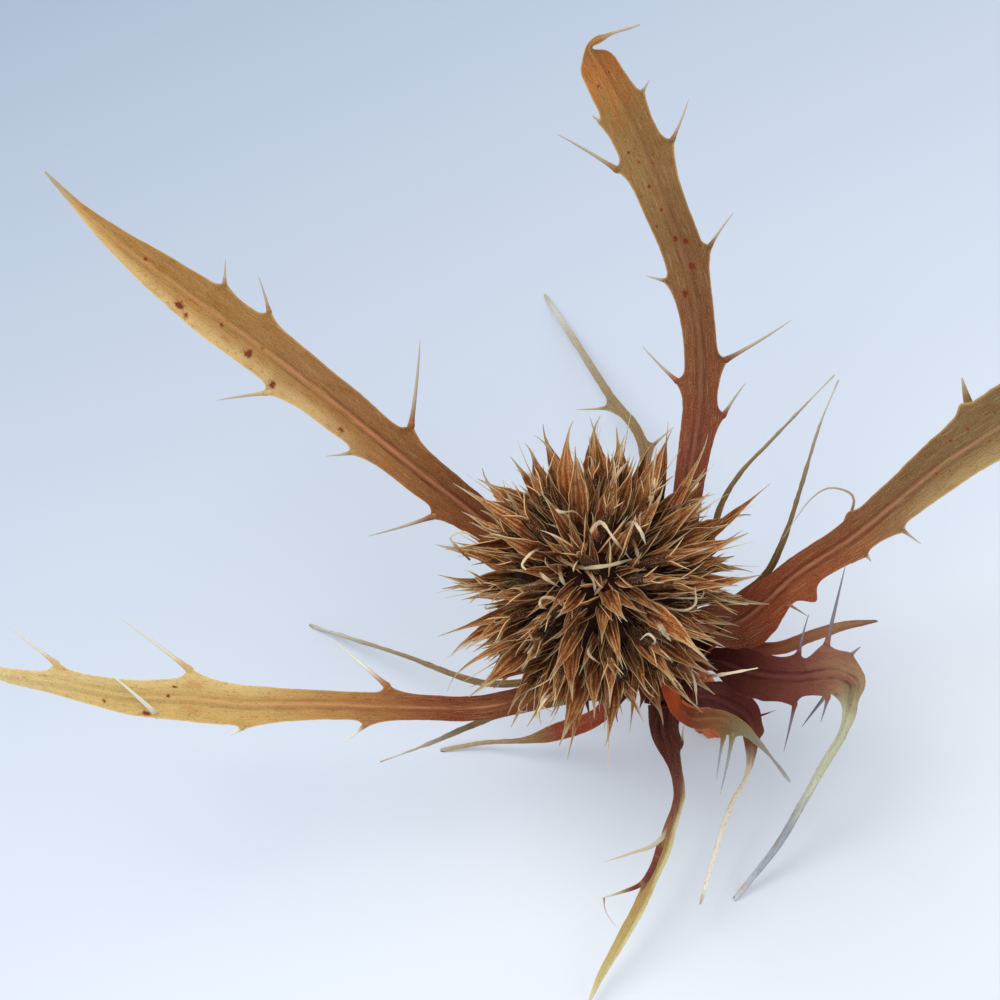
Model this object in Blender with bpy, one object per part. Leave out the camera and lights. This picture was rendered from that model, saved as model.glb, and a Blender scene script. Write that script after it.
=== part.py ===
"""Dried sea holly: one spiny flower head on a short cut stalk, with a ruff of long spiny bracts round it.

Lengths are in millimetres and are turned into metres where a mesh is written. The plant is described in the
bloom's own frame, whose origin is the middle of the flower head: u to the right, v up and w towards the
viewer who looks into the flower. An empty tips that frame so that the plant lies on its stalk end and on the
tips of its back bracts.
"""
import math
import random

import bmesh
import bpy
from mathutils import Matrix, Vector

MM = 0.001

# How the bloom lies
BLOOM_TIP = 30.0
BLOOM_ORIGIN = (1.7, -6.4, 18.5)

# Flower head
HEAD_AXIS = Vector((-0.454, 0.454, 0.766)).normalized()
ROSETTE_AXIS = Vector((-0.05, 0.19, 0.98)).normalized()
CORE_SIDE = 5.9
CORE_TOP = 6.6
CORE_BOTTOM = 7.8
CORE_SIDES = 16
CORE_LEVELS = 9
CORE_SPREAD = 158.0
NECK_RADIUS = 2.2
HEAD_FOOT = 8.75
FLORETS = 112
FLORET_SPREAD = 128.0
GOLDEN_TURN = math.pi * (3.0 - math.sqrt(5.0))
LANCE_REACH = 5.0
LANCE_WIDTH = 1.4
LANCE_DEPTH = 0.8
LANCE_SWELL_SHARE = 0.28
LANCE_TAPER_SHARE = 0.66
SMALLEST_LANCE = 0.74
LARGEST_LANCE = 1.30
SHORTEST_LANCE = 1.2
SHORTENING = 0.4
BRACT_CLEARANCE = 0.85
HEAD_REACH = 14.0
TOOTH_SHARE = 0.66
TOOTH_RADIUS = 0.4
TOOTH_TIP = 0.1
TOOTH_OFFSET = 0.35
TOOTH_APART = 0.25
TOOTH_SPREAD = 0.3
ROOT_DEPTH = 1.0
ROSETTE_SPREAD = [(0, 14), (10, 36), (25, 58), (45, 73), (65, 83), (90, 94), (130, 118), (180, 165)]
SCATTER = 0.17
SEED = 11

# Stalk and the collar that carries the bracts
COLLAR_TOP = 9.05
COLLAR_RADIUS = 2.4
COLLAR_FOOT = 12.7
STALK_RADIUS = 1.5
STALK_END = 20.3
STALK_BEND = 0.022
RIB_COUNT = 10
RIB_HEIGHT = 0.12
SEAT_GAP = 0.4
ROOT_HALF_WIDTH = 0.85
ROOT_RUN = 1.3
RING_LEVELS = (9.7, 10.8, 11.9)

# Bract blades and spines
BLADE_THICKNESS = 0.62
MIDRIB_EXTRA = 0.16
CHANNEL = 0.16
FINEST_HALF_WIDTH = 0.2
SAMPLES_BETWEEN = 24
FACING_SHARE = 0.25
STEP_ALONG = 2.6
FEWEST_STEPS = 7
SPINE_ROOT = 0.62
SPINE_NECK = 0.24
SPINE_TIP = 0.13
TOWARDS_VIEWER = Vector((0.0, 0.0, 1.0))
UPWARDS = Vector((0.0, 1.0, 0.0))
UNTWISTED = [(0, 0), (1, 0)]
SHARP_ANGLE = 35.0

# Each bract: the collar ring and the bearing that it leaves from, its route as (u, v, w, half width), its
# spines as (share of the length, side, length, lean towards the tip, lift towards the viewer) and, where it
# isn't flat, its twist as (share of the length, degrees).
BRACTS = {
    "bract_upper_left": {
        "ring": 0, "bearing": -77, "colour": "bract_tan",
        "route": [(-6.8, 3.6, -7.0, 1.3), (-13.9, 9.2, -4.2, 1.5), (-20.9, 14.8, -1.6, 1.68),
                  (-27.7, 19.8, 1.0, 1.62), (-33.1, 23.9, 3.0, 0.88), (-35.7, 26.2, 4.0, 0.36),
                  (-38.0, 28.6, 5.0, 0.1)],
        "spines": [(0.73, 1, 1.7, 35, 0), (0.66, 1, 2.7, 50, 5), (0.42, 1, 6.2, 31, 0),
                   (0.60, -1, 3.6, 43, -20), (0.46, -1, 1.8, 38, -10), (0.32, -1, 4.9, 26, -25)],
    },
    "bract_top": {
        "ring": 0, "bearing": -152, "colour": "bract_tan",
        "route": [(6.8, 7.5, -6.0, 1.1), (7.5, 13.2, -5.0, 1.15), (7.3, 18.2, -3.5, 1.2),
                  (6.2, 23.0, -1.5, 1.4), (4.5, 27.1, 0.5, 1.55), (3.1, 30.4, 1.5, 1.6),
                  (1.5, 33.5, 2.5, 1.5), (0.0, 36.1, 3.2, 1.25), (-0.6, 37.3, 3.8, 0.75),
                  (0.6, 38.0, 4.5, 0.4), (2.8, 38.7, 4.8, 0.1)],
        "spines": [(0.82, 1, 1.0, 31, 0), (0.74, 1, 3.0, 40, 0), (0.57, 1, 2.9, 36, -15),
                   (0.40, 1, 5.4, 26, 0), (0.32, 1, 3.0, 60, -30), (0.81, -1, 0.8, 70, 0),
                   (0.73, -1, 4.8, 46, 0), (0.54, -1, 1.5, 24, -20), (0.37, -1, 3.6, 38, -25)],
    },
    "bract_right": {
        "ring": 0, "bearing": 157, "colour": "bract_tan",
        "route": [(10.1, -2.9, -7.0, 1.3), (14.6, 0.9, -5.0, 1.25), (18.1, 3.3, -3.5, 1.3),
                  (21.4, 6.1, -2.0, 1.55), (24.8, 8.9, -0.8, 1.8), (28.2, 11.2, 0.2, 2.0),
                  (32.2, 14.1, 1.5, 1.9), (36.1, 17.0, 2.8, 1.2), (38.7, 19.1, 3.5, 0.5),
                  (41.0, 21.0, 4.2, 0.1)],
        "spines": [(0.59, -1, 1.5, 33, 0), (0.41, 1, 1.6, 9, -10), (0.33, 1, 0.9, 0, 0),
                   (0.35, -1, 3.4, 30, 30), (0.76, 1, 3.6, 40, 0), (0.84, -1, 3.0, 45, 0)],
    },
    "bract_left": {
        "ring": 0, "bearing": -19, "colour": "bract_tan",
        "route": [(-7.5, -8.7, -6.0, 0.9), (-12.9, -8.7, -4.6, 0.9), (-19.6, -8.4, -3.0, 1.05),
                  (-25.2, -8.3, -1.5, 1.4), (-28.6, -7.9, -0.6, 1.5), (-32.4, -7.7, 0.4, 1.2),
                  (-37.8, -6.6, 1.8, 0.75), (-41.4, -5.9, 2.6, 0.45), (-44.4, -4.6, 3.2, 0.1)],
        "spines": [(0.84, 1, 4.3, 55, 0), (0.65, 1, 6.3, 55, 0), (0.37, 1, 5.5, 50, -25),
                   (0.70, -1, 4.5, 50, 65), (0.58, -1, 1.2, 55, 0), (0.40, -1, 2.1, 45, -10)],
    },
    "bract_lower_right": {
        "ring": 2, "bearing": 126, "colour": "bract_purple",
        "route": [(10.5, -6.1, -5.5, 1.3), (12.3, -6.4, -3.9, 1.25), (14.4, -6.4, -2.2, 1.2),
                  (16.7, -6.1, -1.0, 1.3), (18.0, -6.7, -1.1, 1.05), (18.1, -8.2, -2.3, 0.7),
                  (17.6, -10.6, -4.2, 0.45), (16.3, -13.1, -5.6, 0.36), (15.1, -15.5, -6.6, 0.32),
                  (13.3, -18.8, -7.5, 0.3), (10.2, -22.9, -8.3, 0.26)],
        "twist": [(0, 0), (0.40, 0), (0.52, 35), (1, 60)],
        "spines": [(0.27, -1, 2.9, 20, 0), (0.33, -1, 5.8, 15, 0), (0.39, -1, 0.9, 10, 0),
                   (0.25, 1, 3.7, 0, -10), (0.33, 1, 2.0, -10, -15), (0.44, 1, 5.0, 35, -10)],
    },
    "bract_lower": {
        "ring": 1, "bearing": 45, "colour": "bract_purple",
        "route": [(4.9, -8.3, -7.0, 1.1), (5.0, -10.6, -6.0, 0.95), (5.7, -12.9, -4.6, 0.5),
                  (6.0, -15.0, -4.2, 0.45), (5.3, -17.4, -4.0, 0.5), (4.9, -18.8, -4.0, 0.5),
                  (4.2, -20.4, -4.0, 0.48), (3.2, -22.7, -4.0, 0.45), (1.6, -25.6, -3.9, 0.38),
                  (0.5, -27.5, -3.8, 0.28), (-0.5, -29.6, -3.5, 0.1)],
        "twist": [(0, 0), (0.25, 20), (0.4, 45), (0.6, 30), (1, 10)],
        "spines": [(0.53, 1, 3.6, 12, 0), (0.62, 1, 4.4, 30, 5), (0.24, -1, 1.4, -60, 0)],
    },
    "bract_lower_middle": {
        "ring": 2, "bearing": 84, "colour": "bract_purple",
        "route": [(9.0, -8.3, -8.0, 0.85), (11.0, -9.5, -7.8, 0.85), (11.3, -11.5, -7.0, 0.5),
                  (11.0, -13.4, -6.2, 0.25), (9.6, -16.1, -5.6, 0.2), (7.5, -22.8, -5.0, 0.1)],
        "spines": [(0.36, -1, 1.4, -5, 0)],
    },
    "bract_front_spike": {
        "ring": 0, "bearing": 68, "colour": "bract_orange",
        "route": [(5.9, -8.8, -4.4, 0.55), (7.0, -9.4, -3.7, 0.7), (8.4, -9.3, -2.9, 0.75),
                  (9.8, -9.6, -2.0, 0.6), (11.6, -11.2, -0.8, 0.35), (13.5, -13.6, 0.3, 0.1)],
        "spines": [(0.52, 1, 3.0, 0, -10), (0.60, 1, 4.2, 20, -25)],
    },
    "bract_small_right": {
        "ring": 1, "bearing": 141, "colour": "bract_orange",
        "route": [(10.2, -4.4, -7.1, 0.38), (13.3, -4.6, -6.6, 0.6), (15.6, -3.7, -5.6, 0.6),
                  (17.8, -2.9, -4.4, 0.42), (20.0, -2.5, -3.4, 0.1)],
        "spines": [],
    },
    "bract_deep": {
        "ring": 1, "bearing": -118, "colour": "bract_straw",
        "route": [(4.1, 3.5, -15.2, 0.55), (3.9, 10.7, -21.0, 0.52), (1.7, 14.2, -25.8, 0.5),
                  (-0.9, 18.7, -31.0, 0.42), (-3.2, 22.5, -34.5, 0.28)],
        "spines": [(0.45, 1, 2.4, 40, 0), (0.62, -1, 2.6, 40, 0)],
    },
    "bract_back_left": {
        "ring": 1, "bearing": -42, "colour": "bract_straw",
        "route": [(-2.2, -6.6, -10.4, 0.42), (-7.5, -7.4, -12.0, 0.4), (-14.2, -5.4, -15.6, 0.34),
                  (-21.2, -3.4, -19.6, 0.26)],
        "spines": [],
    },
    "bract_thin_left": {
        "ring": 1, "bearing": -5, "colour": "bract_straw",
        "route": [(-1.6, -8.3, -8.4, 0.45), (-6.8, -9.4, -8.2, 0.45), (-9.0, -10.2, -7.0, 0.42),
                  (-11.8, -11.3, -5.4, 0.3), (-15.3, -12.5, -3.4, 0.1)],
        "spines": [],
    },
    "bract_thin_lower_left": {
        "ring": 2, "bearing": -18, "colour": "bract_orange",
        "route": [(0.5, -9.6, -10.8, 0.6), (-2.7, -11.0, -12.4, 0.7), (-4.8, -11.6, -13.1, 0.35),
                  (-8.3, -11.9, -13.9, 0.26), (-11.2, -12.5, -14.3, 0.24)],
        "spines": [],
    },
    "bract_thin_right": {
        "ring": 1, "bearing": -168, "colour": "bract_straw",
        "route": [(8.3, 2.2, -8.6, 0.36), (9.1, 5.6, -7.4, 0.36), (10.4, 8.0, -5.8, 0.34),
                  (12.3, 10.1, -4.5, 0.3), (14.5, 12.5, -3.2, 0.25), (16.8, 14.9, -2.0, 0.1)],
        "spines": [],
    },
    "bract_thin_far_right": {
        "ring": 1, "bearing": 166, "colour": "bract_straw",
        "route": [(9.6, -1.6, -8.6, 0.4), (12.2, 0.5, -7.6, 0.42), (13.4, 2.9, -5.9, 0.38),
                  (14.5, 6.8, -3.5, 0.32), (15.7, 11.4, -1.2, 0.24), (16.9, 14.5, 0.0, 0.1)],
        "spines": [],
    },
}

# Each material: base colour and roughness
FINISHES = {
    "bract_tan": ((0.42, 0.24, 0.10), 0.62),
    "bract_purple": ((0.16, 0.045, 0.040), 0.60),
    "bract_orange": ((0.33, 0.12, 0.05), 0.62),
    "bract_straw": ((0.38, 0.30, 0.15), 0.65),
    "floret_brown": ((0.16, 0.080, 0.035), 0.72),
    "stalk_russet": ((0.30, 0.10, 0.045), 0.68),
}


def clear_scene():
    for old in list(bpy.data.objects):
        bpy.data.objects.remove(old, do_unlink=True)


def make_materials():
    made = {}
    for name, (colour, roughness) in FINISHES.items():
        material = bpy.data.materials.new(name)
        material.use_nodes = True
        shader = material.node_tree.nodes["Principled BSDF"]
        shader.inputs["Base Color"].default_value = (*colour, 1.0)
        shader.inputs["Roughness"].default_value = roughness
        shader.inputs["Metallic"].default_value = 0.0
        made[name] = material
    return made


def mesh_object(name, points, faces, material=None):
    """Writes a closed shape given in millimetres as an object in metres."""
    mesh = bpy.data.meshes.new(name)
    mesh.from_pydata([Vector(point) * MM for point in points], [], faces)
    shape = bmesh.new()
    shape.from_mesh(mesh)
    bmesh.ops.recalc_face_normals(shape, faces=shape.faces)
    shape.to_mesh(mesh)
    shape.free()
    made = bpy.data.objects.new(name, mesh)
    bpy.context.scene.collection.objects.link(made)
    if material:
        mesh.materials.append(material)
    return made


def loft(rings, closed_ends=True):
    """Joins rings of equally many points by triangles. The two long faces of a thin blade are split alike."""
    count = len(rings[0])
    points = [point for ring in rings for point in ring]
    faces = []
    for lower in range(len(rings) - 1):
        start, above = lower * count, (lower + 1) * count
        for side in range(count):
            following = (side + 1) % count
            a, b = start + side, start + following
            c, d = above + following, above + side
            if side < count // 2:
                faces += [(a, b, c), (a, c, d)]
            else:
                faces += [(a, b, d), (b, c, d)]
    if closed_ends:
        last = (len(rings) - 1) * count
        for step in range(2, count):
            near, far = step, (step + 1) % count
            faces.append((1, far, near))
            faces.append((last + 1, last + near, last + far))
    return points, faces


def smooth_route(route):
    """A smooth curve through the route's points: a list of four-number points, the fourth the half width."""
    first = [2 * a - b for a, b in zip(route[0], route[1])]
    last = [2 * a - b for a, b in zip(route[-1], route[-2])]
    padded = [first, *route, last]
    curve = []
    for index in range(1, len(padded) - 2):
        p0, p1, p2, p3 = padded[index - 1:index + 3]
        knots = [0.0]
        for before, after in ((p0, p1), (p1, p2), (p2, p3)):
            knots.append(knots[-1] + math.sqrt(math.dist(before[:3], after[:3])))
        for step in range(SAMPLES_BETWEEN):
            t = knots[1] + (knots[2] - knots[1]) * step / SAMPLES_BETWEEN
            curve.append(catmull_rom(t, knots, (p0, p1, p2, p3)))
    curve.append(list(route[-1]))
    return curve


def catmull_rom(t, knots, points):
    """One point of the curve between the two middle points of four."""
    def mix(low, high, at_low, at_high):
        share = (t - low) / (high - low)
        return [a + (b - a) * share for a, b in zip(at_low, at_high)]

    t0, t1, t2, t3 = knots
    a1 = mix(t0, t1, points[0], points[1])
    a2 = mix(t1, t2, points[1], points[2])
    a3 = mix(t2, t3, points[2], points[3])
    return mix(t1, t2, mix(t0, t2, a1, a2), mix(t1, t3, a2, a3))


def lengths_along(curve):
    """How far along the curve each of its points lies."""
    reach = [0.0]
    for before, after in zip(curve, curve[1:]):
        reach.append(reach[-1] + math.dist(before[:3], after[:3]))
    return reach


def even_stations(curve, count):
    """Evenly spaced stations along a curve."""
    reach = lengths_along(curve)
    return [station_at(curve, reach, number / count) for number in range(count + 1)]


def station_at(curve, reach, share):
    """One station: (share of the length, centre, half width, direction)."""
    target = share * reach[-1]
    index = next(i for i in range(1, len(reach)) if reach[i] >= target - 1e-9)
    part = (target - reach[index - 1]) / (reach[index] - reach[index - 1])
    point = [a + (b - a) * part for a, b in zip(curve[index - 1], curve[index])]
    before = Vector(curve[max(index - 3, 0)][:3])
    after = Vector(curve[min(index + 3, len(curve) - 1)][:3])
    return share, Vector(point[:3]), max(point[3], 0.0), (after - before).normalized()


def axis_frame():
    """Two directions square to the head's axis, from which bearings are counted."""
    first = TOWARDS_VIEWER.cross(HEAD_AXIS).normalized()
    return first, HEAD_AXIS.cross(first)


def on_axis(level, radius=0.0, bearing=0.0):
    """A point below the head's middle by level along the axis, and radius away from the axis."""
    first, second = axis_frame()
    angle = math.radians(bearing)
    return -level * HEAD_AXIS + radius * (math.cos(angle) * first + math.sin(angle) * second)


def along_steps(steps, share):
    """Reads a value from (share, value) pairs."""
    for (low, at_low), (high, at_high) in zip(steps, steps[1:]):
        if share <= high:
            return at_low + (at_high - at_low) * (share - low) / (high - low)
    return steps[-1][1]


def blade_frame(bract, share, direction):
    """Side and face directions of a blade, which turns from the collar's own tilt to face the viewer."""
    out = min(share / FACING_SHARE, 1.0)
    facing = HEAD_AXIS.lerp(TOWARDS_VIEWER, out)
    face = (facing - facing.dot(direction) * direction).normalized()
    twist = math.radians(along_steps(bract.get("twist", UNTWISTED), share))
    face = Matrix.Rotation(twist, 3, direction) @ face
    return direction.cross(face), face


def full_route(bract):
    """The route with its root beside the collar, which it leaves square to the stalk."""
    level = RING_LEVELS[bract["ring"]]
    radius = COLLAR_RADIUS + SEAT_GAP
    half_width = min(bract["route"][0][3], ROOT_HALF_WIDTH)
    root = on_axis(level, radius, bract["bearing"])
    clear_of_collar = on_axis(level, radius + ROOT_RUN, bract["bearing"])
    return [(*root, half_width), (*clear_of_collar, half_width), *bract["route"]]


def bract_curve(bract):
    return smooth_route([list(point) for point in full_route(bract)])


def blade_ring(station, bract):
    """The six-sided section of a blade: a shallow channel with a thicker midrib."""
    share, centre, half_width, direction = station
    half_width = max(half_width, FINEST_HALF_WIDTH)
    side, face = blade_frame(bract, share, direction)
    thickness = min(BLADE_THICKNESS, 1.9 * half_width)
    rise = CHANNEL * half_width
    extra = MIDRIB_EXTRA * min(half_width, 1.0)
    upper, lower = thickness / 2, -thickness / 2
    outline = ((-half_width, rise + upper), (0.0, upper), (half_width, rise + upper),
               (half_width, rise + lower), (0.0, lower - extra), (-half_width, rise + lower))
    return [centre + across * side + height * face for across, height in outline]


def spine_shape(root, outward, face, length):
    """A straight spine: a wide flat root sunk into the margin, then a slim four-sided needle."""
    flat = outward.cross(face).normalized()
    profile = ((-0.55, SPINE_ROOT * 1.25, 0.22), (0.0, SPINE_ROOT, 0.24), (0.3 * length, SPINE_NECK, 0.2),
               (length, SPINE_TIP, SPINE_TIP))
    rings = []
    for reach, half_width, half_depth in profile:
        middle = root + reach * outward
        rings.append([middle + half_width * flat, middle + half_depth * face,
                      middle - half_width * flat, middle - half_depth * face])
    return loft(rings)


def make_bract(name, bract, materials):
    """A bract: its blade, with the margin spines fused in."""
    curve = bract_curve(bract)
    reach = lengths_along(curve)
    stations = even_stations(curve, max(FEWEST_STEPS, round(reach[-1] / STEP_ALONG)))
    points, faces = loft([blade_ring(station, bract) for station in stations])
    blade = mesh_object(name, points, faces, materials[bract["colour"]])
    spines = []
    for share, hand, spine_length, lean, lift in bract["spines"]:
        _, centre, half_width, direction = station_at(curve, reach, share)
        side, face = blade_frame(bract, share, direction)
        margin = centre + hand * half_width * side + CHANNEL * half_width * face
        turned = math.radians(lean)
        outward = math.cos(turned) * hand * side + math.sin(turned) * direction
        lifted = math.radians(lift)
        outward = (math.cos(lifted) * outward + math.sin(lifted) * face).normalized()
        square_face = (face - face.dot(outward) * outward).normalized()
        spines.append(mesh_object(f"{name}_spine", *spine_shape(margin, outward, square_face, spine_length)))
    fuse(blade, spines)
    return blade


def fuse(body, repeats):
    """Joins repeats into the body that they grow from, as one closed skin."""
    if not repeats:
        return
    bunch = bpy.data.collections.new(f"{body.name}_repeats")
    bpy.context.scene.collection.children.link(bunch)
    for repeat in repeats:
        bpy.context.scene.collection.objects.unlink(repeat)
        bunch.objects.link(repeat)
    union = body.modifiers.new("fuse", "BOOLEAN")
    union.operation = "UNION"
    union.operand_type = "COLLECTION"
    union.collection = bunch
    union.solver = "MANIFOLD"
    apply_modifiers(body)
    for repeat in repeats:
        bpy.data.objects.remove(repeat, do_unlink=True)
    bpy.data.collections.remove(bunch)


def apply_modifiers(body):
    bpy.context.view_layer.update()
    evaluated = body.evaluated_get(bpy.context.evaluated_depsgraph_get())
    finished = bpy.data.meshes.new_from_object(evaluated)
    body.modifiers.clear()
    old = body.data
    body.data = finished
    bpy.data.meshes.remove(old)
    skin = bmesh.new()
    skin.from_mesh(finished)
    bmesh.ops.triangulate(skin, faces=skin.faces)
    skin.to_mesh(finished)
    skin.free()


def core_radius(polar):
    """Distance from the head's middle to its core's skin, by the angle from the axis."""
    height = CORE_TOP if polar < math.pi / 2 else CORE_BOTTOM
    return 1.0 / math.hypot(math.cos(polar) / height, math.sin(polar) / CORE_SIDE)


def head_core(name, material):
    """The dense middle of the head, down to the foot that sits on the collar."""
    rings = []
    first, second = axis_frame()
    for number in range(1, CORE_LEVELS + 1):
        polar = math.radians(CORE_SPREAD) * number / CORE_LEVELS
        radius = core_radius(polar) * math.sin(polar)
        height = core_radius(polar) * math.cos(polar)
        rings.append((height, max(radius, NECK_RADIUS)))
    rings.append((-HEAD_FOOT, NECK_RADIUS))
    skin = []
    for height, radius in rings:
        skin.append([height * HEAD_AXIS + radius * (math.cos(turn) * first + math.sin(turn) * second)
                     for turn in (2 * math.pi * step / CORE_SIDES for step in range(CORE_SIDES))])
    points, faces = loft(skin, closed_ends=False)
    top = len(points)
    points.append(CORE_TOP * HEAD_AXIS)
    last = (len(skin) - 1) * CORE_SIDES
    faces += [(top, (step + 1) % CORE_SIDES, step) for step in range(CORE_SIDES)]
    faces += [(last, last + step, last + step + 1) for step in range(1, CORE_SIDES - 1)]
    return mesh_object(name, points, faces, material)


def rosette_directions(radial):
    """The way that a floret points, spread out from the eye of the rosette, and the way back to the eye."""
    from_eye = radial.angle(ROSETTE_AXIS)
    across = (radial - radial.dot(ROSETTE_AXIS) * ROSETTE_AXIS).normalized()
    turned = math.radians(along_steps(ROSETTE_SPREAD, math.degrees(from_eye)))
    outward = math.cos(turned) * ROSETTE_AXIS + math.sin(turned) * across
    to_eye = math.sin(from_eye) * ROSETTE_AXIS - math.cos(from_eye) * across
    return outward, to_eye


def floret_places():
    """Seats of the florets, wound round the core: (point on the core, outward, towards the eye, size)."""
    first, second = axis_frame()
    chance = random.Random(SEED)
    lowest = math.cos(math.radians(FLORET_SPREAD))
    places = []
    for number in range(FLORETS):
        rise = 1.0 - (1.0 - lowest) * (number + 0.5) / FLORETS
        polar = math.acos(rise)
        turn = number * GOLDEN_TURN
        around = math.cos(turn) * first + math.sin(turn) * second
        radial = math.cos(polar) * HEAD_AXIS + math.sin(polar) * around
        outward, upward = rosette_directions(radial)
        stray = Vector([chance.uniform(-SCATTER, SCATTER) for _ in range(3)])
        outward = (outward + stray).normalized()
        size = chance.uniform(SMALLEST_LANCE, LARGEST_LANCE)
        places.append((core_radius(polar) * radial, outward, upward, size))
    return places


def lance_shape(seat, outward, upward, length, width, depth):
    """A pointed bracteole: a diamond section that swells above its root and runs out to a needle tip."""
    face = (upward - upward.dot(outward) * outward).normalized()
    flat = outward.cross(face)
    profile = ((-ROOT_DEPTH, 0.6, 0.7), (LANCE_SWELL_SHARE * length, 1.0, 1.0),
               (LANCE_TAPER_SHARE * length, 0.55, 0.6), (length, 0.16, 0.22))
    rings = []
    for reach, across, through in profile:
        middle = seat + reach * outward
        half_width, half_depth = across * width / 2, through * depth / 2
        rings.append([middle + half_width * flat, middle + half_depth * face,
                      middle - half_width * flat, middle - half_depth * face])
    return loft(rings)


def needle_shape(seat, outward, sideways, length, radius):
    """A short three-sided calyx tooth."""
    across = outward.cross(sideways).normalized()
    rings = []
    for reach, size in ((-ROOT_DEPTH, radius), (length, TOOTH_TIP)):
        middle = seat + reach * outward
        rings.append([middle + size * (math.cos(turn) * sideways + math.sin(turn) * across)
                      for turn in (0.0, 2 * math.pi / 3, 4 * math.pi / 3)])
    return loft(rings)


def free_reach(seat, outward, wanted, obstacles):
    """Shortens a lance that would come too near a bract."""
    reach = wanted
    while reach > SHORTEST_LANCE:
        points = [seat + share * reach * outward for share in (0.1, 0.25, 0.4, 0.55, 0.7, 0.85, 1.0)]
        if all((point - centre).length > radius for point in points for centre, radius in obstacles):
            return reach
        reach -= SHORTENING
    return 0.0


def make_head(materials):
    head = head_core("flower_head", materials["floret_brown"])
    obstacles = []
    for bract in BRACTS.values():
        for _, centre, half_width, _ in even_stations(bract_curve(bract), 60):
            if centre.length < HEAD_REACH:
                obstacles.append((centre, half_width + BRACT_CLEARANCE))
    repeats = []
    for seat, outward, upward, size in floret_places():
        reach = free_reach(seat, outward, LANCE_REACH * size, obstacles)
        if not reach:
            continue
        below = seat - TOOTH_OFFSET * upward
        repeats.append(mesh_object("lance", *lance_shape(below, outward, upward, reach, LANCE_WIDTH * size,
                                                         LANCE_DEPTH * size)))
        flat = outward.cross(upward).normalized()
        for hand in (-1, 1):
            tooth = (outward + hand * TOOTH_SPREAD * flat + TOOTH_APART * upward).normalized()
            tooth_seat = seat + TOOTH_OFFSET * upward + hand * TOOTH_APART * flat
            repeats.append(mesh_object("tooth", *needle_shape(tooth_seat, tooth, flat, TOOTH_SHARE * reach,
                                                             TOOTH_RADIUS)))
    fuse(head, repeats)
    return head


def make_stalk(materials):
    """The cut stalk with shallow ribs, and the collar on its top."""
    first, second = axis_frame()
    around = RIB_COUNT * 2
    profile = ((COLLAR_TOP, COLLAR_RADIUS - 0.15, 0.0), (COLLAR_TOP + 0.3, COLLAR_RADIUS, 0.0),
               (COLLAR_FOOT, COLLAR_RADIUS, 0.0), (COLLAR_FOOT + 1.0, STALK_RADIUS + 0.25, 0.5),
               (COLLAR_FOOT + 2.2, STALK_RADIUS, 1.0), (COLLAR_FOOT + 4.9, STALK_RADIUS, 1.0),
               (STALK_END, STALK_RADIUS, 1.0))
    rings = []
    for level, radius, ribbed in profile:
        middle = -level * HEAD_AXIS - STALK_BEND * max(level - COLLAR_FOOT, 0.0) ** 2 * UPWARDS
        ring = []
        for step in range(around):
            turn = 2 * math.pi * step / around
            size = radius + ribbed * RIB_HEIGHT * (1 if step % 2 else -1)
            ring.append(middle + size * (math.cos(turn) * first + math.sin(turn) * second))
        rings.append(ring)
    points, faces = loft(rings)
    return mesh_object("stem", points, faces, materials["stalk_russet"])


def rest_on_ground(body, bloom_matrix):
    """Trims what would reach below the surface, which leaves a small flat spot to rest on."""
    shape = bmesh.new()
    shape.from_mesh(body.data)
    into_bloom = bloom_matrix.inverted()
    ground = into_bloom @ Vector((0.0, 0.0, 0.0))
    upward = (into_bloom.to_3x3() @ Vector((0.0, 0.0, 1.0))).normalized()
    if min((vertex.co - ground).dot(upward) for vertex in shape.verts) < 0.0:
        everything = shape.verts[:] + shape.edges[:] + shape.faces[:]
        bmesh.ops.bisect_plane(shape, geom=everything, plane_co=ground, plane_no=upward, clear_inner=True)
        rim = [edge for edge in shape.edges if edge.is_boundary]
        bmesh.ops.contextual_create(shape, geom=rim)
        bmesh.ops.triangulate(shape, faces=shape.faces)
        bmesh.ops.recalc_face_normals(shape, faces=shape.faces)
        shape.to_mesh(body.data)
    shape.free()


def main():
    clear_scene()
    materials = make_materials()
    bloom = bpy.data.objects.new("bloom", None)
    bpy.context.scene.collection.objects.link(bloom)
    bloom.location = Vector(BLOOM_ORIGIN) * MM
    bloom.rotation_euler = (math.radians(BLOOM_TIP), 0.0, 0.0)
    bpy.context.view_layer.update()

    pieces = [make_stalk(materials), make_head(materials)]
    for name, bract in BRACTS.items():
        pieces.append(make_bract(name, bract, materials))
    for piece in pieces:
        rest_on_ground(piece, bloom.matrix_world)
        piece.data.shade_smooth()
        piece.data.set_sharp_from_angle(angle=math.radians(SHARP_ANGLE))
        piece.parent = bloom


main()
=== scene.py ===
"""Looks of the dried sea holly: finer bracts, spines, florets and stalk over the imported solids.

Lengths are in millimetres in the bloom's own frame, as in the part's source: u to the right, v up and w
towards the viewer who looks into the flower. They are turned into metres and tipped into the row frame where
a mesh is written.
"""

import math
import random

import bpy
import numpy as np
from mathutils import Euler, Matrix, Vector
from mathutils.bvhtree import BVHTree

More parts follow.
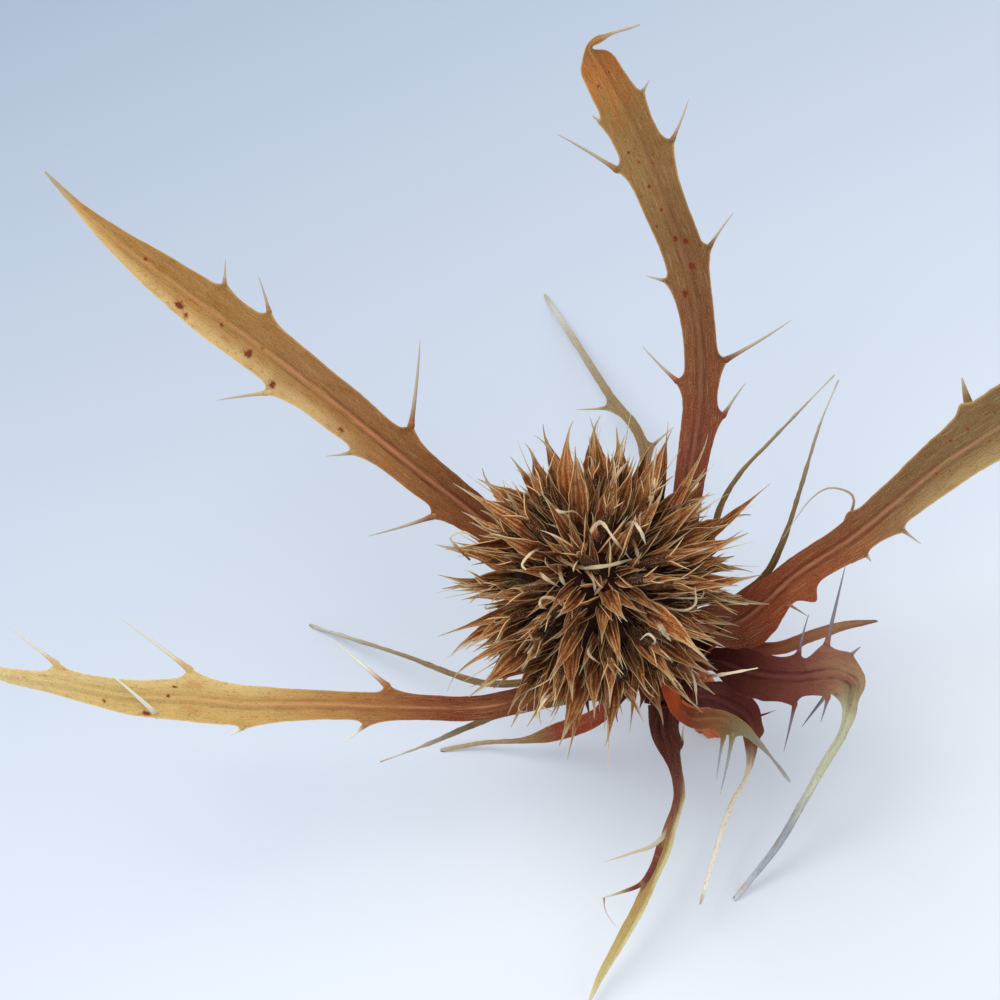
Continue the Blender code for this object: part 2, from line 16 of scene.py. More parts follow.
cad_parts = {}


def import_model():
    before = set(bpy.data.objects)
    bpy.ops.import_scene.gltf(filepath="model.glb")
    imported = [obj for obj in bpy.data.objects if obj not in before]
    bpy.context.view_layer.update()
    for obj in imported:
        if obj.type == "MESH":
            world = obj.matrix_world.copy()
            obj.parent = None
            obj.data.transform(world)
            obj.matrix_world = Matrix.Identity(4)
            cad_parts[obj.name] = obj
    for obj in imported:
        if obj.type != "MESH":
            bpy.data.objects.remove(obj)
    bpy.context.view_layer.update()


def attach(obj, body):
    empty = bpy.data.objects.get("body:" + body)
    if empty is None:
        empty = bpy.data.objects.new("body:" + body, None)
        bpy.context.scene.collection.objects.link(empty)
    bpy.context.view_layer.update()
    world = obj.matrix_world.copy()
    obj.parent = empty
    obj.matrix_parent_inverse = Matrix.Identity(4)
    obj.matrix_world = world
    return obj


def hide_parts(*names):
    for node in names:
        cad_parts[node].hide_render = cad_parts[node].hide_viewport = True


MM = 0.001
BLOOM_TIP = 30.0
BLOOM_ORIGIN = (1.7, -6.4, 18.5)
INTO_ROW = Matrix.Translation(Vector(BLOOM_ORIGIN)) @ Matrix.Rotation(math.radians(BLOOM_TIP), 4, "X")

# The view: places in the picture run from 0 to PICTURE across and down
CAMERA_DISTANCE = 240.0
FRAME_WIDTH = 70.0
CAMERA_CENTRE = (-6.8, 6.1)
PICTURE = 1000

# Flower head
TOWARDS_VIEWER = Vector((0.0, 0.0, 1.0))
UPWARDS = Vector((0.0, 1.0, 0.0))
HEAD_AXIS = Vector((-0.454, 0.454, 0.766)).normalized()
ROSETTE_AXIS = Vector((-0.05, 0.19, 0.98)).normalized()
AXIS_SIDE = TOWARDS_VIEWER.cross(HEAD_AXIS).normalized()
AXIS_UP = HEAD_AXIS.cross(AXIS_SIDE)
CORE_SIDE = 5.9
CORE_TOP = 6.6
CORE_BOTTOM = 7.8
NECK_RADIUS = 2.2
HEAD_FOOT = 8.75
FLORETS = 112
FLORET_SPREAD = 128.0
GOLDEN_TURN = math.pi * (3.0 - math.sqrt(5.0))
LANCE_REACH = 5.0
SMALLEST_LANCE = 0.74
LARGEST_LANCE = 1.30
SHORTEST_LANCE = 1.2
SHORTENING = 0.4
BRACT_CLEARANCE = 0.85
HEAD_REACH = 14.0
ROOT_DEPTH = 1.0
ROSETTE_SPREAD = [(0, 14), (10, 36), (25, 58), (45, 73), (65, 83), (90, 94), (130, 118), (180, 165)]
SCATTER = 0.17
SEED = 11

# Stalk and the collar that carries the bracts
COLLAR_TOP = 9.05
COLLAR_RADIUS = 2.4
COLLAR_FOOT = 12.7
STALK_RADIUS = 1.5
STALK_END = 20.3
STALK_BEND = 0.022
SEAT_GAP = 0.4
ROOT_HALF_WIDTH = 0.85
ROOT_RUN = 1.3
RING_LEVELS = (9.7, 10.8, 11.9)

# Bract blades and spines
CHANNEL = 0.16
FACING_SHARE = 0.25
SAMPLES_BETWEEN = 24
UNTWISTED = [(0, 0), (1, 0)]

# The thin pale bracts look alike
STRAW_LOOK = {
    "colour": "bract_straw", "flares": [(0.65, 0, -0.17, 0.6)],
    "shades": [(0, 98, 62, 36), (0.35, 112, 86, 54), (0.65, 130, 114, 84), (0.85, 160, 156, 140),
        (1, 196, 202, 200)],
}

# Each bract: the collar ring and the bearing that it leaves from, its route as (u, v, w, half width), its
# spines as (share of the length, side, length, lean towards the tip, lift towards the viewer) and, where it
# isn't flat, its twist as (share of the length, degrees). A side is 1 or -1, or 0 for both. Its looks are its
# shades as (share of the length, red, green, blue from 0 to 255), the colours of its rib, of the lines
# beside it, of its margin and of its spines, how far its end takes the spines' colour, its duller side, its
# paler side (side, share that it starts from, strength), its toothed side, rust spots (share, place from the
# middle to the margin, size), flared lobes (share, side, extra reach, spread) and loose threads (places in
# the picture with their depth, half width, paleness, share of the length whose shade they take).
BRACTS = {
    "bract_upper_left": {
        "ring": 0, "bearing": -77, "colour": "bract_tan",
        "route": [(-6.8, 3.6, -7.0, 1.3), (-13.9, 9.2, -4.2, 1.5), (-20.9, 14.8, -1.6, 1.68),
            (-27.7, 19.8, 1.0, 1.62), (-33.1, 23.9, 3.0, 0.88), (-35.7, 26.2, 4.0, 0.36),
            (-38.0, 28.6, 5.0, 0.1)],
        "spines": [(0.73, 1, 1.7, 35, 0), (0.66, 1, 2.7, 50, 5), (0.42, 1, 6.2, 31, 0),
            (0.6, -1, 3.6, 43, -20), (0.46, -1, 1.8, 38, -10), (0.32, -1, 4.9, 26, -25)],
        "shades": [(0, 88, 42, 28), (0.22, 124, 64, 36), (0.42, 152, 102, 56), (0.6, 166, 125, 72),
            (0.85, 180, 136, 74), (1, 200, 164, 100)],
        "dull_side": 1, "pale_side": (-1, 0.4, 0.5), "flares": [(0.62, 0, 0.1, 0.2)],
        "rust": [(0.83, 0.2, 0.13), (0.76, -0.6, 0.3), (0.745, -0.8, 0.2), (0.65, -0.5, 0.3),
            (0.64, 0.05, 0.16), (0.6, -0.95, 0.25), (0.7, -0.2, 0.16), (0.49, -0.7, 0.2)],
    },
    "bract_top": {
        "ring": 0, "bearing": -152, "colour": "bract_tan",
        "route": [(6.8, 7.5, -6.0, 1.1), (7.5, 13.2, -5.0, 1.15), (7.3, 18.2, -3.5, 1.2),
            (6.2, 23.0, -1.5, 1.4), (4.5, 27.1, 0.5, 1.55), (3.1, 30.4, 1.5, 1.6), (1.5, 33.5, 2.5, 1.5),
            (0.0, 36.1, 3.2, 1.25), (-0.6, 37.3, 3.8, 0.75), (0.6, 38.0, 4.5, 0.4), (2.8, 38.7, 4.8, 0.1)],
        "spines": [(0.82, 1, 1.0, 31, 0), (0.74, 1, 3.0, 40, 0), (0.57, 1, 2.9, 36, -15),
            (0.4, 1, 5.4, 26, 0), (0.32, 1, 3.0, 60, -30), (0.81, -1, 0.8, 70, 0),
            (0.735, -1, 4.9, 58, 0), (0.54, -1, 1.5, 24, -20), (0.37, -1, 3.6, 38, -25)],
        "shades": [(0, 104, 46, 32), (0.3, 130, 66, 44), (0.5, 132, 88, 52), (0.7, 142, 108, 64),
            (0.8, 146, 108, 58), (0.88, 172, 106, 48), (0.93, 150, 110, 60), (1, 206, 184, 140)],
        "rib": (128, 84, 60), "line": (92, 52, 36),
        "flares": [(0.888, 1, 0.1, 0.016), (0.87, -1, 0.1, 0.05), (0.893, -1, 0.16, 0.012),
            (0.916, 0, -0.42, 0.013), (0.95, 0, -0.2, 0.04)],
        "dull_side": 1,
        "rust": [(0.86, -0.5, 0.12), (0.75, -0.6, 0.13), (0.72, 0.2, 0.13), (0.65, -0.2, 0.13),
            (0.63, -0.7, 0.12), (0.59, 0.3, 0.24), (0.51, -0.4, 0.3), (0.87, 0.3, 0.1),
            (0.73, -0.35, 0.12), (0.69, -0.3, 0.14), (0.6, -0.1, 0.22), (0.55, 0.25, 0.3)],
    },
    "bract_right": {
        "ring": 0, "bearing": 157, "colour": "bract_tan",
        "route": [(10.1, -2.9, -7.0, 1.3), (14.6, 0.9, -5.0, 1.25), (18.1, 3.3, -3.5, 1.3),
            (21.4, 6.1, -2.0, 1.55), (24.8, 8.9, -0.8, 1.8), (28.2, 11.2, 0.2, 2.0),
            (32.2, 14.1, 1.5, 1.9), (36.1, 17.0, 2.8, 1.2), (38.7, 19.1, 3.5, 0.5), (41.0, 21.0, 4.2, 0.1)],
        "spines": [(0.4, 1, 1.6, 9, -10), (0.33, 1, 0.6, 0, 0), (0.76, 1, 3.6, 40, 0),
            (0.84, -1, 3.0, 45, 0)],
        "shades": [(0, 96, 44, 28), (0.15, 142, 66, 38), (0.3, 134, 76, 44), (0.42, 132, 96, 62),
            (0.55, 128, 102, 64), (0.8, 132, 112, 74), (1, 182, 164, 120)],
        "dull_side": -1, "pale_side": (1, 0.35, 0.2), "rib": (164, 112, 80),
        "flares": [(0.1, 1, 0.9, 0.05), (0.215, 1, 1.0, 0.018), (0.1, -1, 0.5, 0.06),
            (0.63, -1, 0.6, 0.09), (0.593, -1, 0.5, 0.011), (0.35, -1, 0.3, 0.012)],
        "rust": [(0.5, 0.1, 0.1), (0.55, -0.6, 0.12), (0.58, -0.6, 0.12), (0.6, 0.2, 0.12),
            (0.43, 0.3, 0.1)],
        "threads": [([(846, 526, -3.8), (854, 500, -2.9), (850, 493, -2.6), (829, 488, -2.0),
            (812, 498, -1.6), (795, 520, -1.3), (783, 538, -1.2)], 0.13, 0.7, 0.4),
            ([(972, 420, -1.1), (969, 406, -0.5), (965, 391, -0.2), (962, 378, 0.0)], 0.64, 0.0, 0.5),
            ([(788, 604, -5.0), (798, 610, -4.9), (809, 617, -4.7)], 0.14, 0.3, 0.3)],
    },
    "bract_left": {
        "ring": 0, "bearing": -19, "colour": "bract_tan",
        "route": [(-7.5, -8.7, -6.0, 0.9), (-12.9, -8.7, -4.6, 0.9), (-19.6, -8.4, -3.0, 1.05),
            (-25.2, -8.3, -1.5, 1.4), (-28.6, -7.9, -0.6, 1.5), (-32.4, -7.7, 0.4, 1.2),
            (-37.8, -6.6, 1.8, 0.75), (-41.4, -5.9, 2.6, 0.45), (-44.4, -4.6, 3.2, 0.1)],
        "spines": [(0.858, 1, 4.3, 61, 0), (0.662, 1, 6.3, 55, 0), (0.37, 1, 5.5, 50, -25),
            (0.58, -1, 1.2, 55, 0), (0.4, -1, 2.1, 45, -10)],
        "shades": [(0, 88, 40, 26), (0.3, 126, 62, 34), (0.42, 166, 118, 64), (0.55, 192, 156, 92),
            (0.75, 198, 170, 106), (0.9, 204, 182, 124), (1, 214, 198, 150)],
        "rib": (196, 136, 92), "line": (140, 88, 50), "spine": (212, 206, 188), "pale_side": (1, 0.45, 0.5),
        "toothed_side": 1,
        "rust": [(0.68, 0.6, 0.13), (0.69, 0.15, 0.12), (0.78, -0.5, 0.14), (0.72, -0.8, 0.2)],
        "threads": [([(159, 717, -0.3), (151, 709, 0.8), (132, 692, 1.5), (108, 672, 1.9)], 0.25, 1.0,
            0.7)],
    },
    "bract_lower_right": {
        "ring": 2, "bearing": 126, "colour": "bract_purple",
        "route": [(10.5, -6.1, -5.5, 1.3), (12.3, -6.4, -3.9, 1.25), (14.4, -6.4, -2.2, 1.2),
            (16.7, -6.1, -1.0, 1.3), (18.0, -6.7, -1.1, 1.05), (18.1, -8.2, -2.3, 0.7),
            (17.6, -10.6, -4.2, 0.45), (16.3, -13.1, -5.6, 0.36), (15.1, -15.5, -6.6, 0.32),
            (13.3, -18.8, -7.5, 0.3), (10.2, -22.9, -8.3, 0.26)],
        "twist": [(0, 0), (0.4, 0), (0.52, 35), (1, 60)],
        "spines": [(0.27, -1, 2.9, 20, 0), (0.33, -1, 5.8, 15, 0), (0.362, -1, 0.9, 25, 0),
            (0.25, 1, 3.7, -22, -10), (0.33, 1, 2.0, -20, -15), (0.43, 1, 5.0, 72, -10)],
        "shades": [(0, 74, 30, 24), (0.15, 100, 44, 36), (0.28, 118, 66, 54), (0.36, 142, 104, 78),
            (0.42, 160, 142, 106), (0.5, 206, 208, 168), (0.7, 206, 214, 190), (0.8, 160, 170, 176),
            (0.88, 172, 184, 196), (1, 216, 224, 230)],
        "rib": (128, 64, 58), "line": (78, 28, 30), "margin": (112, 82, 72), "spine": (118, 112, 122),
        "end": 0.0,
        "flares": [(0.12, -1, 0.3, 0.08), (0.16, 1, 0.5, 0.07), (0.29, -1, -0.25, 0.03),
            (0.365, -1, 0.12, 0.02), (0.425, -1, -0.4, 0.035), (0.42, 1, 0.5, 0.03), (0.53, 0, -0.1, 0.06)],
    },
    "bract_lower": {
        "ring": 1, "bearing": 45, "colour": "bract_purple",
        "route": [(4.9, -8.3, -7.0, 1.1), (5.0, -10.6, -6.0, 0.95), (5.7, -12.9, -4.6, 0.5),
            (6.0, -15.0, -4.2, 0.45), (5.3, -17.4, -4.0, 0.5), (4.9, -18.8, -4.0, 0.5),
            (4.2, -20.4, -4.0, 0.48), (3.2, -22.7, -4.0, 0.45), (1.6, -25.6, -3.9, 0.38),
            (0.5, -27.5, -3.8, 0.28), (-0.5, -29.6, -3.5, 0.1)],
        "twist": [(0, 0), (0.25, 20), (0.4, 45), (0.6, 30), (1, 10)], "spines": [(0.24, -1, 1.4, -60, 0)],
        "shades": [(0, 78, 30, 25), (0.3, 98, 43, 35), (0.42, 122, 70, 56), (0.52, 150, 114, 66),
            (0.8, 172, 150, 92), (1, 196, 184, 132)],
        "rib": (110, 58, 48), "line": (60, 22, 22), "margin": (196, 192, 140), "spine": (196, 190, 160),
        "pale_side": (-1, 0.3, 0.9), "flares": [(0.06, -1, 0.5, 0.1)],
        "threads": [([(672, 823, -4.1), (664, 836, -4.0), (652, 846, -3.9), (632, 853, -3.8),
            (604, 862, -3.6)], 0.26, 0.8, 0.45),
            ([(662, 846, -4.0), (653, 868, -3.9), (641, 884, -3.8), (622, 892, -3.6), (602, 898, -3.4)],
            0.4, 0.0, 0.35),
            ([(604, 897, -3.45), (605, 909, -3.4), (611, 920, -3.4), (619, 929, -3.4)], 0.07, 0.6, 0.45)],
    },
    "bract_lower_middle": {
        "ring": 2, "bearing": 84, "colour": "bract_purple",
        "route": [(9.0, -8.3, -8.0, 0.85), (11.0, -9.5, -7.8, 0.85), (11.3, -11.5, -7.0, 0.5),
            (11.0, -13.4, -6.2, 0.25), (9.6, -16.1, -5.6, 0.2), (7.5, -22.8, -5.0, 0.1)],
        "shades": [(0, 80, 32, 28), (0.3, 106, 48, 40), (0.42, 122, 82, 58), (0.5, 214, 204, 172),
            (1, 232, 230, 216)],
        "rib": (118, 58, 48), "line": (72, 28, 28), "margin": (150, 100, 70),
        "flares": [(0.2, -1, 0.55, 0.09), (0.36, -1, 0.25, 0.02), (0.55, 0, -0.08, 0.1)],
        "threads": [([(751, 717, -7.7), (762, 715, -7.5), (776, 710, -7.3)], 0.16, 0.0, 0.25)],
    },
    "bract_front_spike": {
        "ring": 0, "bearing": 68, "colour": "bract_orange",
        "route": [(5.9, -8.8, -4.4, 0.55), (7.0, -9.4, -3.7, 0.7), (8.4, -9.3, -2.9, 0.75),
            (9.8, -9.6, -2.0, 0.6), (11.6, -11.2, -0.8, 0.35), (13.5, -13.6, 0.3, 0.1)],
        "spines": [(0.52, 1, 3.0, 0, -10), (0.6, 1, 4.2, 20, -25)],
        "flares": [(0.5, 1, -0.15, 0.16), (0.5, -1, -0.2, 0.16), (0.72, 0, -0.1, 0.1),
            (0.84, 0, -0.13, 0.07)],
        # The bright orange at its foot is painted light glowing through the thin tissue, over the bract's own
        # orange-brown
        "shades": [(0, 216, 88, 44), (0.2, 190, 80, 42), (0.3, 140, 70, 42), (0.45, 150, 98, 56),
            (0.58, 136, 116, 78), (0.7, 128, 126, 104), (1, 136, 138, 138)],
        "rib": (186, 128, 78), "line": (120, 64, 40), "margin": (182, 152, 104), "spine": (146, 150, 150),
    },
    "bract_small_right": {
        "ring": 1, "bearing": 141, "colour": "bract_orange",
        "route": [(10.2, -4.4, -7.1, 0.38), (13.3, -4.6, -6.6, 0.6), (15.6, -3.7, -5.6, 0.6),
            (17.8, -2.9, -4.4, 0.42), (20.0, -2.5, -3.4, 0.1)],
        "flares": [(0.6, 1, -0.26, 0.3), (0.6, -1, -0.06, 0.3)],
        "shades": [(0, 96, 44, 28), (0.4, 150, 88, 58), (0.8, 160, 118, 86), (1, 120, 84, 62)],
        "line": (84, 46, 34), "margin": (96, 74, 70), "spine": (120, 90, 70),
    },
    "bract_deep": {
        **STRAW_LOOK, "ring": 1, "bearing": -118,
        "route": [(4.1, 3.5, -15.2, 0.55), (3.9, 10.7, -21.0, 0.52), (1.7, 14.2, -25.8, 0.5),
            (-0.9, 18.7, -31.0, 0.42), (-3.2, 22.5, -34.5, 0.28)],
        "spines": [(0.45, 1, 2.4, 40, 0), (0.62, -1, 2.6, 40, 0)],
    },
    "bract_back_left": {
        **STRAW_LOOK, "ring": 1, "bearing": -42,
        "route": [(-2.2, -6.6, -10.4, 0.42), (-7.5, -7.4, -12.0, 0.4), (-14.2, -5.4, -15.6, 0.34),
            (-21.2, -3.4, -19.6, 0.26)],
    },
    "bract_thin_left": {
        **STRAW_LOOK, "ring": 1, "bearing": -5,
        "route": [(-1.6, -8.3, -8.4, 0.45), (-6.8, -9.4, -8.2, 0.45), (-9.0, -10.2, -7.0, 0.42),
            (-11.8, -11.3, -5.4, 0.3), (-15.3, -12.5, -3.4, 0.1)],
    },
    "bract_thin_lower_left": {
        "ring": 2, "bearing": -18, "colour": "bract_orange",
        "route": [(0.5, -9.6, -10.8, 0.6), (-2.7, -11.0, -12.4, 0.7), (-4.8, -11.6, -13.1, 0.35),
            (-8.3, -11.9, -13.9, 0.26), (-11.2, -12.5, -14.3, 0.24)],
        "shades": [(0, 120, 40, 25), (0.3, 148, 58, 32), (0.46, 128, 48, 30), (0.56, 134, 102, 66),
            (1, 172, 160, 132)],
        "flares": [(0.8, 0, -0.1, 0.3)],
    },
    "bract_thin_right": {
        **STRAW_LOOK, "ring": 1, "bearing": -168,
        "route": [(8.3, 2.2, -8.6, 0.36), (9.1, 5.6, -7.4, 0.36), (10.4, 8.0, -5.8, 0.34),
            (12.3, 10.1, -4.5, 0.3), (14.5, 12.5, -3.2, 0.25), (16.8, 14.9, -2.0, 0.1)],
    },
    "bract_thin_far_right": {
        **STRAW_LOOK, "ring": 1, "bearing": 166,
        "route": [(9.6, -1.6, -8.6, 0.4), (12.2, 0.5, -7.6, 0.42), (13.4, 2.9, -5.9, 0.38),
            (14.5, 6.8, -3.5, 0.32), (15.7, 11.4, -1.2, 0.24), (16.9, 14.5, 0.0, 0.1)],
    },
}


# Curves and frames, as in the part's source

def smooth_point(t, knots, points):
    """One point of the smooth curve between the two middle points of four."""
    for pairs in (((0, 1), (1, 2), (2, 3)), ((0, 2), (1, 3)), ((1, 2),)):
        points = [before + (after - before) * ((t - knots[low]) / (knots[high] - knots[low]))
                  for (low, high), before, after in zip(pairs, points, points[1:])]
    return points[0]


class Course:
    """A smooth curve through a route, whose points end in a half width, measured along its length."""

    def __init__(self, route):
        route = np.array(route, float)
        padded = [2 * route[0] - route[1], *route, 2 * route[-1] - route[-2]]
        self.curve = []
        for index in range(len(route) - 1):
            four = padded[index:index + 4]
            knots = [0.0]
            for before, after in zip(four, four[1:]):
                knots.append(knots[-1] + math.sqrt(math.dist(before[:3], after[:3])))
            for step in range(SAMPLES_BETWEEN):
                t = knots[1] + (knots[2] - knots[1]) * step / SAMPLES_BETWEEN
                self.curve.append(smooth_point(t, knots, four))
        self.curve.append(route[-1])
        self.reach = [0.0]
        for before, after in zip(self.curve, self.curve[1:]):
            self.reach.append(self.reach[-1] + math.dist(before[:3], after[:3]))
        self.length = self.reach[-1]

    def at(self, share):
        """The centre, half width and direction at a share of the length."""
        target = share * self.length
        last = len(self.curve) - 1
        index = max(min(int(np.searchsorted(self.reach, target - 1e-9)), last), 1)
        part = (target - self.reach[index - 1]) / (self.reach[index] - self.reach[index - 1])
        point = self.curve[index - 1] + (self.curve[index] - self.curve[index - 1]) * part
        before = Vector(self.curve[max(index - 3, 0)][:3])
        after = Vector(self.curve[min(index + 3, last)][:3])
        return Vector(point[:3]), max(float(point[3]), 0.0), (after - before).normalized()


def blend_curve(controls, count):
    """A smooth line through a few points, evenly spaced."""
    course = Course([[*point, 0.0] for point in controls])
    return np.array([course.at(number / (count - 1))[0] for number in range(count)])


def square_to(direction, vector):
    """The part of a vector that stands square to a direction, drawn out to a length of 1."""
    return (vector - vector.dot(direction) * direction).normalized()


def around_axis(turn):
    return math.cos(turn) * AXIS_SIDE + math.sin(turn) * AXIS_UP


def rings_round_axis(turn):
    return np.cos(turn)[:, None] * np.array(AXIS_SIDE) + np.sin(turn)[:, None] * np.array(AXIS_UP)


def on_axis(level, radius=0.0, bearing=0.0):
    return -level * HEAD_AXIS + radius * around_axis(math.radians(bearing))


def along_steps(steps, share):
    for (low, at_low), (high, at_high) in zip(steps, steps[1:]):
        if share <= high:
            return at_low + (at_high - at_low) * (share - low) / (high - low)
    return steps[-1][1]


def blade_frame(bract, share, direction):
    """Side and face directions of a blade, which turns from the collar's own tilt to face the viewer."""
    facing = HEAD_AXIS.lerp(TOWARDS_VIEWER, min(share / FACING_SHARE, 1.0))
    twist = math.radians(along_steps(bract.get("twist", UNTWISTED), share))
    face = Matrix.Rotation(twist, 3, direction) @ square_to(direction, facing)
    return direction.cross(face), face


def bract_course(bract):
    level = RING_LEVELS[bract["ring"]]
    radius = COLLAR_RADIUS + SEAT_GAP
    half_width = min(bract["route"][0][3], ROOT_HALF_WIDTH)
    root = on_axis(level, radius, bract["bearing"])
    clear_of_collar = on_axis(level, radius + ROOT_RUN, bract["bearing"])
    return Course([[*root, half_width], [*clear_of_collar, half_width], *map(list, bract["route"])])


def core_radius(polar):
    height = CORE_TOP if polar < math.pi / 2 else CORE_BOTTOM
    return 1.0 / math.hypot(math.cos(polar) / height, math.sin(polar) / CORE_SIDE)


def seen(x, y, w):
    """The point at depth w that the camera sees at x, y of the picture."""
    scale = FRAME_WIDTH / PICTURE * (CAMERA_DISTANCE - w) / CAMERA_DISTANCE
    across, up = CAMERA_CENTRE
    return Vector((across + (x - PICTURE / 2) * scale, up - (y - PICTURE / 2) * scale, w))


# Smooth noise and steps

NOISE_VALUES = 4096


def wobble(seed, position, scale=1.0):
    """Smooth noise along a line, from -1 to 1, for an array of positions."""
    position = np.asarray(position, float) * scale
    total = np.zeros_like(position)
    for octave in range(2):
        values = np.random.default_rng(seed * 31 + octave).uniform(-1, 1, NOISE_VALUES)
        place = position * 2 ** octave + 517.3
        low = np.floor(place).astype(int)
        part = place - low
        part = part * part * (3 - 2 * part)
        step = values[low % NOISE_VALUES] * (1 - part) + values[(low + 1) % NOISE_VALUES] * part
        total += 0.5 ** octave * step
    return total / 1.5


def smoothstep(low, high, value):
    t = np.clip((np.asarray(value, float) - low) / (high - low), 0.0, 1.0)
    return t * t * (3 - 2 * t)


def bell(value, centre, width):
    return np.exp(-(((np.asarray(value, float) - centre) / width) ** 2))


# Meshes with the coordinates that the materials paint by

CHANNELS = ("along", "across", "tone", "tip", "spot")
SHARP_ANGLE = 60.0


class Skin:
    """Collects lofted closed strands into one mesh, with the paint coordinates of every point."""

    def __init__(self):
        self.points = []
        self.runs = []
        self.paint = {name: [] for name in CHANNELS}
        self.faces = []
        self.count = 0

    def loft(self, rings, run, **paint):
        """Joins rings, an array of (ring, point, 3), into a closed strand with capped ends.

        Run is its length along, its width across and its seed, which the noises of the materials read.
        """
        rings = np.asarray(rings, float)
        n, m = rings.shape[:2]
        self.points.append(rings.reshape(-1, 3))
        run = np.stack(np.broadcast_arrays(*run), axis=-1)
        self.runs.append(np.array(np.broadcast_to(run, (n, m, 3)), float).reshape(-1, 3))
        for name in CHANNELS:
            value = np.asarray(paint.get(name, 0.0), float)
            if value.ndim == 1 and value.shape[0] == n:
                value = value[:, None]
            self.paint[name].append(np.array(np.broadcast_to(value, (n, m)), float).reshape(-1))
        index = self.count + np.arange(n * m).reshape(n, m)
        lower, upper = index[:-1], index[1:]
        corners = [lower, np.roll(lower, -1, axis=1), np.roll(upper, -1, axis=1), upper]
        self.faces += np.stack(corners, axis=-1).reshape(-1, 4).tolist()
        self.faces += [index[0, ::-1].tolist(), index[-1].tolist()]
        self.count += n * m

    def build(self, name, material):
        into = np.array(INTO_ROW)
        world = np.concatenate(self.points) @ into[:3, :3].T + into[:3, 3]
        world[:, 2] = np.maximum(world[:, 2], 0.0)
        world *= MM
        mesh = bpy.data.meshes.new(name)
        mesh.from_pydata(world.tolist(), [], self.faces)
        for channel in CHANNELS:
            layer = mesh.attributes.new(channel, "FLOAT", "POINT")
            layer.data.foreach_set("value", np.concatenate(self.paint[channel]).astype(np.float32))
        layer = mesh.attributes.new("run", "FLOAT_VECTOR", "POINT")
        layer.data.foreach_set("vector", np.concatenate(self.runs).astype(np.float32).ravel())
        mesh.shade_smooth()
        mesh.set_sharp_from_angle(angle=math.radians(SHARP_ANGLE))
        mesh.materials.append(material)
        piece = bpy.data.objects.new(name, mesh)
        bpy.context.scene.collection.objects.link(piece)
        return piece


def frames_along(points, hint):
    """Sides and faces along a line of points, with the face kept near hint."""
    points = np.asarray(points, float)
    direction = np.gradient(points, axis=0)
    direction /= np.linalg.norm(direction, axis=1)[:, None]
    face = np.asarray(hint, float) - (direction @ np.asarray(hint, float))[:, None] * direction
    length = np.linalg.norm(face, axis=1)
    for index in range(1, len(points)):
        if length[index] < 0.35:
            turned = face[index - 1] - direction[index].dot(face[index - 1]) * direction[index]
            face[index] = turned
            length[index] = np.linalg.norm(turned)
    face /= np.linalg.norm(face, axis=1)[:, None]
    return np.cross(direction, face), face


def section_rings(points, side, face, sideways, lift):
    """Rings round a line of points, from how far every point of a ring lies to the side and up."""
    return points[:, None, :] + sideways[:, :, None] * side[:, None, :] + lift[:, :, None] * face[:, None, :]


def strand_rings(points, half_width, half_depth, hint, sides=8):
    """Rings of an oval strand along a line of points."""
    turn = np.arange(sides) * 2 * math.pi / sides
    width = np.broadcast_to(half_width, len(points))[:, None]
    depth = np.broadcast_to(half_depth, len(points))[:, None]
    side, face = frames_along(points, hint)
    return section_rings(np.asarray(points), side, face, width * np.cos(turn), depth * np.sin(turn))


def flat_ring(columns, power=1.0):
    """Round a flattened ring: places from -1 to 1 and back, with 1 on the upper face and -1 on the lower."""
    across = np.linspace(-1, 1, columns)
    across = np.sign(across) * np.abs(across) ** power
    upper = np.ones(columns)
    return np.concatenate([across, across[::-1]])[None, :], np.concatenate([upper, -upper])[None, :]


# Bracts

ACROSS = 29
CROWDING = 1.15
STATION_STEP = 0.2
LEAST_STATIONS = 40
FULL_HALF_WIDTH = 1.2
LEAST_HALF_WIDTH = 0.05
SPINE_SHOULDER = 0.8
RISE_TO_SPINE = 0.95
FALL_FROM_SPINE = 0.26
SPINE_ROOTS = (-0.45, -0.3, -0.15)
SPINE_SINK = 0.2
SPINE_SPOT = 0.16
NEEDLE_HALF_WIDTH = 0.055
NEEDLE_GROWTH = 0.018
NEEDLE_TAPER = 0.8
NEEDLE_TIP = 0.014
FOOT_FLARE = 0.1
FOOT_RUN = 0.4
TOOTH_HEIGHT = 0.05
TOOTH_PITCH = 5.2
RIB_HALF_WIDTH = 0.13
RIB_HEIGHT = 0.11
GROOVE_PLACE = 0.3
GROOVE_HALF_WIDTH = 0.1
GROOVE_DEPTH = 0.035
VEIN_SPACING = 0.34
VEIN_HEIGHT = 0.009
CRINKLE = 0.014
MARGIN_SWAY = 0.05
MARGIN_FRET = 0.02
SLOW_WAVE = 0.15
QUICK_WAVE = 0.06
END_NARROWING = 0.35
MID_HALF_THICKNESS = 0.15
EDGE_THINNING = 0.08
UNDER_RIB = 1.6
UNDER_VEINS = 0.5
THREAD_STATIONS = 24


